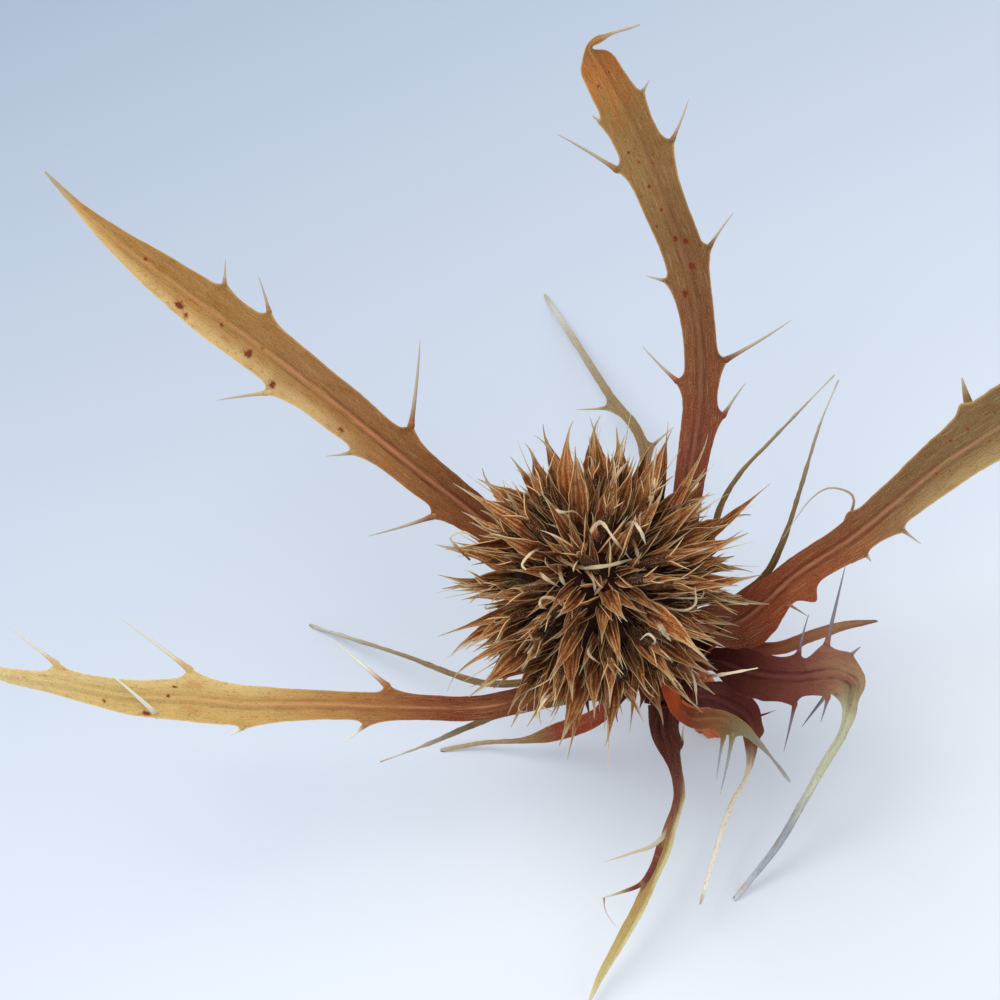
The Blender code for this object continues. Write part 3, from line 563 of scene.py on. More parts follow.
def margin_reach(bract, hand, run, length, half_width, seed):
    """How far the blade reaches on one side: waved, drawn out at its spines and flared at its lobes."""
    share = run / length
    edge = half_width * (1 + MARGIN_SWAY * wobble(seed + hand, run, 0.35))
    edge = edge + MARGIN_FRET * wobble(seed + 5 + hand, run, 2.6)
    for spine_share, spine_hand, spine_length, _, _ in bract.get("spines", []):
        if spine_hand == hand:
            away = run - spine_share * length
            size = SPINE_SHOULDER * min(1.0, 0.35 + spine_length / 5.0)
            slope = np.where(away < 0, np.exp(away / RISE_TO_SPINE), np.exp(-away / FALL_FROM_SPINE))
            edge = edge + size * slope
    for flare_share, flare_hand, extra, spread in bract.get("flares", []):
        if flare_hand in (hand, 0):
            ragged = 1 + 0.25 * wobble(seed + 31, run, 0.9)
            edge = edge + extra * ragged * bell(share, flare_share, spread)
    if bract.get("toothed_side") == hand:
        edge = edge + TOOTH_HEIGHT * np.abs(np.sin(run * TOOTH_PITCH)) * bell(share, 0.78, 0.12)
    return np.maximum(edge, LEAST_HALF_WIDTH)


def edge_wave(hand, run, half_width, seed):
    """How far a margin is waved towards the viewer."""
    slow = wobble(seed + 11 * hand, run, 0.22)
    quick = wobble(seed + 17 * hand, run, 0.9)
    return (SLOW_WAVE * slow + QUICK_WAVE * quick) * half_width


def blade_skin(skin, bract, course, seed):
    """The blade: a shallow channel with a thin raised midrib, fine veins and a waved margin."""
    count = max(LEAST_STATIONS, round(course.length / STATION_STEP))
    stations = []
    for share in [number / count for number in range(count + 1)]:
        centre, half_width, direction = course.at(share)
        stations.append((share, centre, half_width, *blade_frame(bract, share, direction)))
    share, centre, half_width, side, face = (np.array(column) for column in zip(*stations))
    run = share * course.length
    narrowing = 1 - END_NARROWING * smoothstep(0.985, 1.0, share)
    half_width = np.maximum(half_width, LEAST_HALF_WIDTH) * narrowing
    full, on_top = flat_ring(ACROSS, CROWDING)
    margin = {hand: margin_reach(bract, hand, run, course.length, half_width, seed) for hand in (-1, 1)}
    spread = np.abs(full)
    reach = np.where(full < 0, margin[-1][:, None], margin[1][:, None]) * spread
    sideways = reach * np.sign(full)

    wide = half_width[:, None]
    flat = np.minimum(wide / FULL_HALF_WIDTH, 1.0)
    rib = RIB_HEIGHT * flat * (1 - 0.5 * share[:, None]) * bell(reach, 0.0, RIB_HALF_WIDTH)
    groove = -GROOVE_DEPTH * flat * bell(reach, GROOVE_PLACE, GROOVE_HALF_WIDTH)
    veins = VEIN_HEIGHT * flat * np.cos(reach * 2 * math.pi / VEIN_SPACING) * smoothstep(0.4, 0.6, reach)
    wave = np.zeros_like(reach)
    for hand in (-1, 1):
        waved = edge_wave(hand, run, half_width, seed)[:, None] * spread ** 2
        wave += np.where(np.sign(full) == hand, waved, 0.0)
    crinkle = CRINKLE * flat * wobble(seed + 40, run[:, None] * 1.9 + sideways * 2.3)
    height = CHANNEL * wide * spread ** 1.5 + wave + crinkle * smoothstep(0.3, 0.7, reach)
    half_thick = np.minimum(MID_HALF_THICKNESS - EDGE_THINNING * spread, 0.7 * wide)
    top = height + half_thick + rib + groove + veins
    under = height - half_thick - UNDER_RIB * rib - UNDER_VEINS * veins
    rings = section_rings(centre, side, face, sideways, np.where(on_top > 0, top, under))

    spot = np.zeros_like(reach)
    for spot_share, spot_across, size in bract.get("rust", []):
        along = (share[:, None] - spot_share) * course.length / 1.3
        away = np.hypot(along, sideways - spot_across * wide) / size
        spot = np.maximum(spot, np.exp(-away ** 2))
    skin.loft(rings, (run[:, None], sideways, seed), along=share, across=full, tone=flat, spot=spot,
              tip=bract.get("end", 1.0) * smoothstep(0.93, 1.0, share))


def spine_skin(skin, root, outward, face, length, slope, chance, along, hand, seed):
    """A spine: a slender needle that widens into the margin, with its root sunk in the blade's own slope."""
    flat = Vector(np.cross(outward, face)).normalized()
    bend = chance.uniform(-0.07, 0.07) * flat + chance.uniform(-0.05, 0.05) * Vector(face)
    reach = np.concatenate([SPINE_ROOTS, np.linspace(0, 1, 15) ** 1.25 * length])
    out = np.clip(reach / length, 0, 1)
    inside = np.minimum(reach, 0.0)
    points = (np.array(root) + reach[:, None] * np.array(outward) + (slope * inside)[:, None] * np.array(face)
              + (out ** 2)[:, None] * np.array(bend) * length)
    needle = (NEEDLE_HALF_WIDTH + NEEDLE_GROWTH * length) * (1 - out) ** NEEDLE_TAPER
    half_width = needle + NEEDLE_TIP + FOOT_FLARE * np.exp(-np.maximum(reach, 0.0) / FOOT_RUN)
    half_width *= smoothstep(-0.7, -0.05, reach)
    half_depth = (0.8 * needle + 0.02) * smoothstep(-0.55, 0.1, reach)
    rings = strand_rings(points, half_width, np.maximum(half_depth, 0.008), face)
    skin.loft(rings, (reach[:, None], 1.1 * hand, seed), along=along, across=0.75 * hand, tone=0.1,
              tip=smoothstep(-0.02, 0.4, out), spot=SPINE_SPOT * bell(reach, 0.2, 0.4))


def bract_piece(name, bract, material, seed):
    skin = Skin()
    course = bract_course(bract)
    blade_skin(skin, bract, course, seed)
    chance = random.Random(seed)
    for share, hand, length, lean, lift in bract.get("spines", []):
        centre, half_width, direction = course.at(share)
        side, face = blade_frame(bract, share, direction)
        run = np.array([share * course.length])
        edge = float(margin_reach(bract, hand, run, course.length, half_width, seed)[0]) - SPINE_SINK
        height = CHANNEL * half_width + float(edge_wave(hand, run, half_width, seed)[0])
        root = centre + hand * edge * side + height * face
        turned = math.radians(lean)
        outward = math.cos(turned) * hand * side + math.sin(turned) * direction
        lifted = math.radians(lift)
        outward = (math.cos(lifted) * outward + math.sin(lifted) * face).normalized()
        slope = 1.5 * height / edge * math.cos(turned)
        spine_skin(skin, root, outward, square_to(outward, face), length, slope, chance, share, hand, seed)
    for controls, half_width, paleness, share in bract.get("threads", []):
        points = blend_curve([seen(*control) for control in controls], THREAD_STATIONS)
        s = np.linspace(0, 1, THREAD_STATIONS)
        taper = (1 - 0.9 * s ** 0.8) * half_width
        pale = np.maximum(paleness * smoothstep(0.0, 0.3, s), smoothstep(0.6, 1.0, s))
        skin.loft(strand_rings(points, taper, 0.35 * taper, TOWARDS_VIEWER), (s[:, None], 0.8, seed),
                  along=share, across=0.5, tone=0.1, tip=pale)
    return skin.build(name, material)


# Flower head

LANCE_HALF_WIDTH = 0.66
LANCE_HALF_DEPTH = 0.46
LANCE_PALES = (0.0, 0.0, 0.5)
FILLERS = 100
# The fillers' shade of 0.5 darkens them as painted shade in the gaps among the main bracteoles
FILLER_FORM = {"scatter": 0.35, "lengths": (2.2, 4.2), "half_widths": (0.25, 0.5), "depth": 0.25,
               "stations": 15, "columns": 7, "shade": 0.5}
FILLER_TURN = 1.3
EYE_LANCES = 22
EYE_FORM = {"scatter": 0.6, "lengths": (1.8, 3.4), "half_widths": (0.3, 0.55), "depth": 0.3,
            "pales": (0.0, 0.3, 0.8)}
SMALL_BEND = 0.25
EYE_INNER = 3.0
EYE_SPREAD = 24.0
AWN_CHANCE = 0.45
FILLER_SEED = 29
CALYX_CHANCE = 0.62
SUNK = 0.35
SEAT_SHIFT = 0.34
INVOLUCRE_SCALES = 17
INVOLUCRE_SEED = 5
PALE_BASE = 0.8
CORE_SIDES = 48
CORE_INSET = 0.3
CORE_BUMPS = 0.16
TUBE_SINK = 0.8
MOUTH_RADIUS = 0.24
FLORET_SINK = 0.35
BOAT_WAVE = 0.16
BOAT_RIB_HEIGHT = 0.035
BOAT_RIBS = 4
BOAT_THICKNESS = 0.05
BOAT_FRET = 0.12
SEPAL_HALF_WIDTHS = (0.17, 0.3)
SEPAL_THICKNESS = 0.035
RIBBON_THICKNESS = 0.03
AWN_HALF_WIDTH = 0.10
FRONT_SLIMMING = 0.82
FRONT_DEPTH = 0.5

# Shares of a strand's length, and how wide or hollow it is there
BOAT_WIDTHS = ((0, 0.12, 0.34, 0.52, 0.66, 0.77, 0.88, 1), (0.55, 0.8, 1, 0.82, 0.48, 0.2, 0.09, 0.025))
BOAT_HOLLOWS = ((0, 0.3, 0.7, 1.0), (0.7, 1.0, 0.7, 0.05))
SEPAL_WIDTHS = ((0, 0.25, 0.5, 0.68, 0.84, 1.0), (0.8, 1.0, 0.6, 0.22, 0.1, 0.03))
RIBBON_WIDTHS = ((0, 0.15, 0.7, 1.0), (0.7, 1.0, 0.85, 0.25))
TUBE_RADII = ((0, 0.6, 1), (0.28, 0.42, 0.34))

# Bracteoles that stand out in the picture: base and tip (places in the picture), half width, depth of the tip
# over what lies under it, and how pale their edge is
FRONT_LANCES = [
    (622, 580, 696, 530, 0.5, 1.6, 1.0), (612, 601, 707, 594, 0.75, 1.8, 0.3),
    (612, 600, 540, 643, 0.62, 1.4, 0.7), (545, 600, 437, 632, 0.62, 1.0, 0.6),
    (590, 657, 514, 700, 0.5, 1.2, 0.7), (588, 665, 568, 760, 0.5, 1.0, 0.1),
    (632, 612, 714, 641, 0.6, 1.6, 0.3), (668, 618, 737, 643, 0.4, 1.0, 0.2),
    (545, 545, 456, 480, 0.72, 1.2, 0.2), (575, 500, 543, 430, 0.5, 1.0, 0.3),
    (606, 495, 592, 418, 0.66, 1.2, 0.1), (632, 500, 651, 436, 0.5, 1.0, 0.0),
    (660, 505, 666, 420, 0.36, 0.8, 0.1), (655, 540, 717, 440, 0.6, 1.2, 0.2),
    (695, 548, 771, 482, 0.55, 0.8, 0.1), (690, 565, 743, 531, 0.45, 1.0, 0.0),
    (640, 566, 723, 547, 0.42, 1.6, 0.4), (578, 498, 632, 546, 0.55, 0.9, 0.3),
    (610, 560, 566, 510, 0.5, 1.0, 0.3), (565, 575, 520, 590, 0.45, 1.3, 0.5),
    (560, 640, 490, 672, 0.5, 1.0, 0.4), (640, 650, 632, 735, 0.5, 0.9, 0.2),
    (610, 660, 605, 730, 0.42, 0.9, 0.3), (560, 655, 470, 690, 0.5, 0.8, 0.5),
    (665, 590, 745, 600, 0.45, 1.0, 0.2), (520, 540, 445, 545, 0.6, 0.8, 0.4),
    (530, 590, 452, 592, 0.4, 0.8, 0.2), (560, 620, 437, 673, 0.45, 0.8, 0.2),
    (640, 600, 668, 640, 0.45, 1.6, 0.6), (600, 632, 575, 676, 0.45, 1.7, 0.5),
]

# Pale dried petals and styles: places in the picture with the height over what lies under them, half width
RIBBONS = [
    ([(553, 549, -0.3), (562, 560, 0.7), (579, 567, 1.1), (605, 566, 1.2), (632, 559, 0.5)], 0.17),
    ([(584, 553, -0.3), (591, 532, 0.8), (600, 522, 1.1), (614, 539, 0.8), (631, 560, -0.2)], 0.13),
    ([(632, 533, -0.3), (627, 526, 0.6), (632, 522, 1.0), (640, 530, 1.0), (646, 545, 0.2)], 0.14),
    ([(633, 540, 0.4), (637, 552, 0.8), (638, 567, -0.2)], 0.12),
    ([(570, 609, -0.3), (552, 598, 0.9), (542, 598, 1.2), (540, 605, 1.1), (547, 609, 0.6)], 0.14),
    ([(559, 566, 0.9), (562, 580, 0.6), (569, 589, -0.3)], 0.13),
    ([(545, 546, -0.2), (530, 554, 0.8), (522, 564, 0.9), (526, 570, 0.3)], 0.13),
    ([(534, 566, 0.8), (545, 578, 0.6), (561, 588, -0.2)], 0.14),
    ([(655, 604, -0.3), (672, 609, 1.2), (687, 610, 1.6), (694, 604, 1.6), (695, 587, 1.2)], 0.11),
    ([(655, 596, -0.3), (680, 598, 1.3), (706, 598, 1.2)], 0.08),
    ([(654, 617, -0.2), (662, 629, 0.9), (671, 641, 0.9)], 0.2),
    ([(584, 568, 0.9), (593, 580, 0.6), (595, 593, -0.3)], 0.12),
    ([(607, 579, 0.9), (600, 588, 0.6), (593, 597, -0.2)], 0.1),
    ([(687, 664, -0.2), (694, 680, 0.9), (697, 705, 0.6)], 0.1),
    ([(700, 678, -0.3), (725, 674, 1.0), (758, 668, 1.3)], 0.12),
    ([(565, 686, -0.2), (545, 700, 0.8), (537, 716, 0.6), (549, 725, 0.2)], 0.1),
    ([(558, 684, -0.2), (548, 690, 0.7), (541, 704, 0.6), (552, 712, 0.2)], 0.09),
    ([(540, 646, -0.2), (531, 637, 0.8), (530, 622, 0.8)], 0.08),
    ([(650, 650, -0.2), (655, 640, 0.8), (648, 634, 0.9), (640, 640, 0.6)], 0.09),
    ([(596, 640, -0.2), (588, 652, 0.8), (600, 664, 0.7)], 0.09),
    ([(545, 500, -0.2), (560, 512, 0.7), (575, 512, 0.8), (584, 520, -0.1)], 0.11),
    ([(607, 498, -0.2), (612, 486, 0.8), (620, 470, 0.9), (628, 462, 0.6)], 0.11),
    ([(652, 515, -0.2), (651, 500, 0.6), (655, 478, 0.6)], 0.16),
    ([(470, 560, -0.2), (455, 545, 0.6), (450, 538, 0.8), (462, 532, 0.7), (480, 540, 0.2)], 0.1),
]


def rosette_directions(radial):
    """The way that a floret points, spread out from the eye of the rosette, and the way back to the eye."""
    from_eye = radial.angle(ROSETTE_AXIS)
    across = square_to(ROSETTE_AXIS, radial)
    turned = math.radians(along_steps(ROSETTE_SPREAD, math.degrees(from_eye)))
    outward = math.cos(turned) * ROSETTE_AXIS + math.sin(turned) * across
    return outward, math.sin(from_eye) * ROSETTE_AXIS - math.cos(from_eye) * across


def strayed(direction, scatter, chance):
    return (direction + Vector([chance.uniform(-scatter, scatter) for _ in range(3)])).normalized()


def spiral_place(number, count, spread, offset, turned):
    """The polar angle and the direction of one of many evenly spread places round the head's axis."""
    polar = math.acos(1.0 - (1.0 - math.cos(math.radians(spread))) * (number + offset) / count)
    return polar, math.cos(polar) * HEAD_AXIS + math.sin(polar) * around_axis(number * GOLDEN_TURN + turned)


def floret_places():
    """Seats of the main florets, as in the part's source: (point on the core, outward, to the eye, size)."""
    chance = random.Random(SEED)
    places = []
    for number in range(FLORETS):
        polar, radial = spiral_place(number, FLORETS, FLORET_SPREAD, 0.5, 0.0)
        outward, upward = rosette_directions(radial)
        outward = strayed(outward, SCATTER, chance)
        size = chance.uniform(SMALLEST_LANCE, LARGEST_LANCE)
        places.append((core_radius(polar) * radial, outward, upward, size))
    return places


def bract_obstacles():
    obstacles = []
    for bract in BRACTS.values():
        course = bract_course(bract)
        for number in range(61):
            centre, half_width, _ = course.at(number / 60)
            if centre.length < HEAD_REACH:
                obstacles.append((centre, half_width + BRACT_CLEARANCE))
    return obstacles


def free_reach(seat, outward, wanted, obstacles):
    """Shortens a lance that would come too near a bract."""
    reach = wanted
    while reach > SHORTEST_LANCE:
        points = [seat + share * reach * outward for share in (0.1, 0.25, 0.4, 0.55, 0.7, 0.85, 1.0)]
        if all((point - centre).length > radius for point in points for centre, radius in obstacles):
            return reach
        reach -= SHORTENING
    return 0.0


def boat_skin(skin, seat, outward, upward, reach, half_width, depth, chance, bend=0.13, pale=0.0, stations=19,
              columns=9, shade=1.0):
    """A keeled and ribbed bracteole, folded like a boat, that narrows into a straw-coloured needle."""
    face = square_to(outward, upward)
    s = np.linspace(0, 1, stations) ** 0.9
    length = reach + ROOT_DEPTH
    profile = np.interp(s, *BOAT_WIDTHS)
    hollow = np.interp(s, *BOAT_HOLLOWS)
    flat = outward.cross(face).normalized()
    half_width = half_width * chance.uniform(0.9, 1.25)
    depth = depth * chance.uniform(0.9, 1.6)
    aside = chance.uniform(-1, 1) * bend
    over = chance.uniform(-0.7, 1.0) * bend
    hook = chance.choice((0.0, 0.0, chance.uniform(-0.12, 0.12)))
    points = (np.array(seat - ROOT_DEPTH * outward) + (s * length)[:, None] * np.array(outward)
              + (s ** 2.0 * length)[:, None] * np.array(aside * flat + over * face)
              + (s ** 9 * length)[:, None] * np.array(hook * (flat + face)))
    side, up = frames_along(points, face)
    roll = chance.uniform(-0.9, 0.9) * s[:, None]
    side, up = side * np.cos(roll) + up * np.sin(roll), up * np.cos(roll) - side * np.sin(roll)
    full, on_top = flat_ring(columns)
    wide = (half_width * profile)[:, None]
    deep = (depth * hollow * (profile ** 0.6))[:, None]
    spread = np.abs(full)
    seed = chance.randrange(1000)
    along = (s * length)[:, None]
    wave = BOAT_WAVE * wide * wobble(seed, along * 1.3 + 7.0 * full)
    ribs = BOAT_RIB_HEIGHT * np.cos(full * math.pi * BOAT_RIBS) * np.minimum(wide / 0.5, 1.0)
    thick = np.minimum(BOAT_THICKNESS, 0.6 * wide)
    lift = deep * (1.3 * spread - 0.55) + wave + ribs + on_top * thick * (1.3 - 0.6 * spread)
    ragged = BOAT_FRET * wobble(seed + 3, along * 2.6 + np.sign(full) * 40.0)
    sideways = wide * full * (1 + ragged) * (1 - 0.12 * hollow[:, None])
    pale_edge = pale * smoothstep(0.55, 1.0, full) * smoothstep(0.2, 0.45, s)[:, None]
    # A shade below 1 darkens the whole bracteole; for the fillers it is painted shade among the main ones
    skin.loft(section_rings(points, side, up, sideways, lift), (along, sideways, seed % 97), along=shade * s,
              across=full, tone=chance.random() * shade, tip=shade * PALE_BASE * smoothstep(0.68, 0.97, s),
              spot=pale_edge)


def sepal_skin(skin, seat, outward, away, length, chance):
    """One calyx lobe: an ovate scale that ends in a pale stiff point."""
    s = np.linspace(0, 1, 9)
    profile = np.interp(s, *SEPAL_WIDTHS)
    heading = (outward + chance.uniform(0.0, 0.5) * away).normalized()
    lean = chance.uniform(-0.22, 0.3) * away
    points = (np.array(seat) + (s * length)[:, None] * np.array(heading)
              + (s ** 2 * length)[:, None] * np.array(lean))
    full, on_top = flat_ring(5)
    wide = (chance.uniform(*SEPAL_HALF_WIDTHS) * profile)[:, None]
    lift = 0.5 * wide * np.abs(full) + on_top * np.minimum(SEPAL_THICKNESS, 0.7 * wide)
    rings = section_rings(points, *frames_along(points, -away), wide * full, lift)
    run = (s * length)[:, None], wide * full, chance.uniform(0, 90)
    skin.loft(rings, run, along=0.2 + 0.7 * s, across=full, tone=chance.random(),
              tip=0.85 * smoothstep(0.6, 1.0, s))


def ribbon_skin(skin, controls, half_width, chance, pale, stations=24):
    """A dried petal or style: a thin ragged ribbon along a curled line, browner at its foot."""
    points = blend_curve(controls, stations)
    s = np.linspace(0, 1, stations)
    width = half_width * np.interp(s, *RIBBON_WIDTHS) * (1 + 0.45 * wobble(chance.randrange(99), s, 9.0))
    hint = Vector((chance.uniform(-0.5, 0.5), chance.uniform(-0.5, 0.5), 1.5))
    rings = strand_rings(points, width, np.minimum(RIBBON_THICKNESS, 0.6 * width), hint)
    run = (s * 3.0)[:, None], np.linspace(-1, 1, 8) * half_width, chance.uniform(0, 90)
    skin.loft(rings, run, along=s, across=0.3, tone=chance.random(),
              tip=pale * smoothstep(0.15, 0.6, s) * chance.uniform(0.5, 1.0))


def awn_skin(skin, seat, outward, upward, reach, chance):
    """A stiff awn, thinner and longer than the bracteoles that it stands between."""
    flat = outward.cross(upward).normalized()
    lean = chance.uniform(-0.16, 0.16) * flat + chance.uniform(-0.1, 0.2) * upward
    s = np.linspace(0, 1, 10)
    points = (np.array(seat) + (s * reach)[:, None] * np.array(outward)
              + (s ** 2 * reach)[:, None] * np.array(lean))
    width = AWN_HALF_WIDTH * (1 - s) ** 0.9 + NEEDLE_TIP
    run = (s * reach)[:, None], 0.2, chance.uniform(0, 90)
    skin.loft(strand_rings(points, width, 0.7 * width, flat, sides=5), run, along=0.3 + 0.5 * s, across=0.4,
              tone=chance.uniform(0.0, 0.6), tip=0.6 * smoothstep(0.45, 1.0, s))


def hook_controls(seat, outward, sideways, reach, drop):
    """Points of a thread that stands up, bends over and curls back."""
    return [seat, seat + 0.55 * reach * outward, seat + reach * outward + 0.25 * drop * sideways,
            seat + (reach - 0.05) * outward + 0.75 * drop * sideways,
            seat + (reach - 0.45 * drop) * outward + drop * sideways]


def calyx(calyces, threads, seat, outward, upward, reach, chance):
    """A floret's tube with five lobes round its mouth and sometimes a dried style in it."""
    flat = outward.cross(upward).normalized()
    face = square_to(outward, upward)
    foot = seat + SEAT_SHIFT * upward
    top = foot + chance.uniform(0.22, 0.4) * reach * outward
    points = blend_curve([foot - TUBE_SINK * outward, foot, top], 7)
    radius = np.interp(np.linspace(0, 1, 7), *TUBE_RADII)
    run = np.linspace(0, 2, 7)[:, None], np.linspace(-1, 1, 10), chance.uniform(0, 90)
    # across 0.27 lays the ribs' painted groove shade over the whole tube, deep among the florets
    calyces.loft(strand_rings(points, radius, radius, flat, sides=10), run, along=0.1, across=0.27,
                 tone=0.6 * chance.random())
    for number in range(5):
        turn = 2 * math.pi * (number + 0.3) / 5 + chance.uniform(-0.25, 0.25)
        away = math.cos(turn) * flat + math.sin(turn) * face
        mouth = top + MOUTH_RADIUS * away
        sepal_skin(calyces, mouth, outward, away, chance.uniform(0.22, 0.42) * reach, chance)
    if chance.choice((0, 0, 0, 1)):
        turn = chance.uniform(0, 2 * math.pi)
        away = math.cos(turn) * flat + math.sin(turn) * face
        rise = chance.uniform(0.2, 0.5) * reach
        hook = hook_controls(top - 0.2 * outward + 0.1 * away, outward, away, rise, chance.uniform(0.25, 0.8))
        ribbon_skin(threads, hook, chance.uniform(0.05, 0.1), chance, chance.uniform(0.3, 0.9), stations=14)


def florets(bracteoles, calyces, threads, obstacles, chance):
    """The main bracteoles, with the flowers in their axils."""
    for seat, outward, upward, size in floret_places():
        reach = free_reach(seat, outward, LANCE_REACH * size, obstacles)
        if not reach:
            continue
        foot = seat - FLORET_SINK * upward
        boat_skin(bracteoles, foot, outward, upward, reach * chance.uniform(0.82, 1.05),
                  LANCE_HALF_WIDTH * size, LANCE_HALF_DEPTH * size, chance, pale=chance.choice(LANCE_PALES))
        if chance.random() < CALYX_CHANCE:
            calyx(calyces, threads, seat, outward, upward, reach, chance)
        if chance.random() < AWN_CHANCE:
            awn_skin(bracteoles, seat, outward, upward, reach * chance.uniform(1.0, 1.16), chance)


def filler_places():
    """Places between the main bracteoles: the direction from the head's middle and the distance."""
    for number in range(FILLERS):
        polar, radial = spiral_place(number, FILLERS, FLORET_SPREAD + 6.0, 0.8, FILLER_TURN)
        yield radial, core_radius(polar) - 0.2


def eye_places():
    """Places over the eye of the rosette."""
    aside = TOWARDS_VIEWER.cross(ROSETTE_AXIS).normalized()
    for number in range(EYE_LANCES):
        from_eye = math.radians(EYE_INNER + EYE_SPREAD * math.sqrt((number + 0.5) / EYE_LANCES))
        tipped = Matrix.Rotation(from_eye, 3, aside) @ ROSETTE_AXIS
        radial = Matrix.Rotation(number * GOLDEN_TURN, 3, ROSETTE_AXIS) @ tipped
        yield radial, core_radius(radial.angle(HEAD_AXIS)) - 0.3


def small_lances(skin, places, obstacles, chance, scatter, lengths, half_widths, depth, pales=(), **form):
    """Smaller bracteoles, every one its own way."""
    for radial, level in places:
        outward, upward = rosette_directions(radial)
        outward = strayed(outward, scatter, chance)
        seat = level * radial
        reach = free_reach(seat, outward, chance.uniform(*lengths), obstacles)
        if reach:
            half_width = chance.uniform(*half_widths)
            pale = chance.choice(pales) if pales else 0.0
            boat_skin(skin, seat, outward, upward, reach, half_width, depth, chance, SMALL_BEND, pale, **form)


def cover_of(*skins):
    """What lies in view, for finding the depth of a place in the picture."""
    points, faces, start = [], [], 0
    for skin in skins:
        points += np.concatenate(skin.points).tolist()
        faces += [[start + corner for corner in face] for face in skin.faces]
        start = len(points)
    return BVHTree.FromPolygons(points, faces)


def depth_of(cover, x, y, missing):
    eye = Vector((*CAMERA_CENTRE, CAMERA_DISTANCE))
    place = cover.ray_cast(eye, (seen(x, y, 0.0) - eye).normalized())[0]
    return place.z if place else missing


def front_lances(skin, cover, core, chance):
    """The bracteoles that stand out, each from the core to its tip in front of the others."""
    for x, y, tip_x, tip_y, half_width, rise, pale in FRONT_LANCES:
        seat = seen(x, y, depth_of(core, x, y, 0.0) - SUNK)
        tip = seen(tip_x, tip_y, depth_of(cover, tip_x, tip_y, 0.35 * seat.z) + rise)
        to_eye = (ROSETTE_AXIS * CORE_TOP - seat).normalized()
        lance = tip - seat
        boat_skin(skin, seat, lance.normalized(), 0.8 * TOWARDS_VIEWER + 0.5 * to_eye, lance.length,
                  FRONT_SLIMMING * half_width, FRONT_DEPTH * half_width, chance, bend=0.05, pale=pale,
                  stations=23, columns=11)


def laid_ribbons(skin, cover, chance):
    """Pale petals and styles that lie over the florets, with their feet sunk among them."""
    for marks, half_width in RIBBONS:
        last = 3.0
        controls = []
        for x, y, height in marks:
            last = depth_of(cover, x, y, last)
            controls.append(seen(x, y, last + height))
        for before, middle, after in zip(controls, controls[1:], controls[2:]):
            middle.z = max(middle.z, 0.5 * (before.z + after.z) - 0.5)
        ribbon_skin(skin, controls, half_width, chance, 0.8)


def core_skin(skin):
    """The dark middle that the florets stand out of, its darkness partly painted shade for the deep gaps
    between them.
    """
    axis = np.array(HEAD_AXIS)
    turn = np.arange(CORE_SIDES) * 2 * math.pi / CORE_SIDES
    around = rings_round_axis(turn)
    rings = []
    for polar in np.radians(np.linspace(2.0, 158.0, 40)):
        bumps = CORE_BUMPS * np.sin(turn * 17 + polar * 9) * np.sin(polar * 30)
        radius = core_radius(polar) - CORE_INSET + bumps
        size = np.maximum(radius * math.sin(polar), NECK_RADIUS if polar > 1.6 else 0.0)
        rings.append((radius * math.cos(polar))[:, None] * axis + size[:, None] * around)
    rings.append(-HEAD_FOOT * axis + NECK_RADIUS * around)
    s = np.linspace(0, 1, len(rings))
    # across 0.25 lays the ribs' painted groove shade over the whole core
    skin.loft(rings, (s[:, None] * 20, turn * 6, 1.0), across=0.25, tone=0.2)


def head_pieces(materials):
    """The flower head: bracteoles, flowers, fillers, the ones in front, pale threads and the dark core."""
    obstacles = bract_obstacles()
    chance = random.Random(FILLER_SEED)
    bracteoles, calyces, threads, fillers, front, core = (Skin() for _ in range(6))
    core_skin(core)
    florets(bracteoles, calyces, threads, obstacles, chance)
    small_lances(fillers, filler_places(), obstacles, chance, **FILLER_FORM)
    small_lances(fillers, eye_places(), obstacles, chance, **EYE_FORM)
    front_lances(front, cover_of(bracteoles, fillers, core), cover_of(core), chance)
    laid_ribbons(threads, cover_of(bracteoles, calyces, fillers, front, core), chance)
    pieces = [(bracteoles, "bracteoles", "florets"), (calyces, "calyces", "florets"),
              (fillers, "fillers", "florets"), (front, "front", "florets"), (core, "core", "core"),
              (threads, "threads", "threads")]
    return [skin.build("head_" + name, materials[material]) for skin, name, material in pieces]


# Materials

SCATTER_RADIUS = (1.0, 0.45, 0.2)
SCATTER_SCALE = 0.0006
DULLER = (0.74, 0.66, 0.60)
WARMER = (0.84, 0.60, 0.44)
DARKER = (0.58, 0.46, 0.38)
# Multiplied in for the painted shade in the florets' rib grooves and for their dark flecks
SHADE_AND_DARK_FLECKS = (0.30, 0.15, 0.07)
RUSSET = (1.0, 0.55, 0.34)
RUST = (104, 44, 22)
HALO = (150, 78, 38)
RIB = (192, 122, 88)
LINE = (98, 44, 26)
MARGIN = (224, 198, 138)
SPINE = (166, 154, 132)


def tint(red, green, blue):
    """The light that a colour reflects, from its red, green and blue as they are seen, 0 to 255."""
    return tuple(((value / 255 + 0.055) / 1.055) ** 2.4 for value in (red, green, blue))


def tints(shades):
    return [(share, tint(*shade)) for share, *shade in shades]


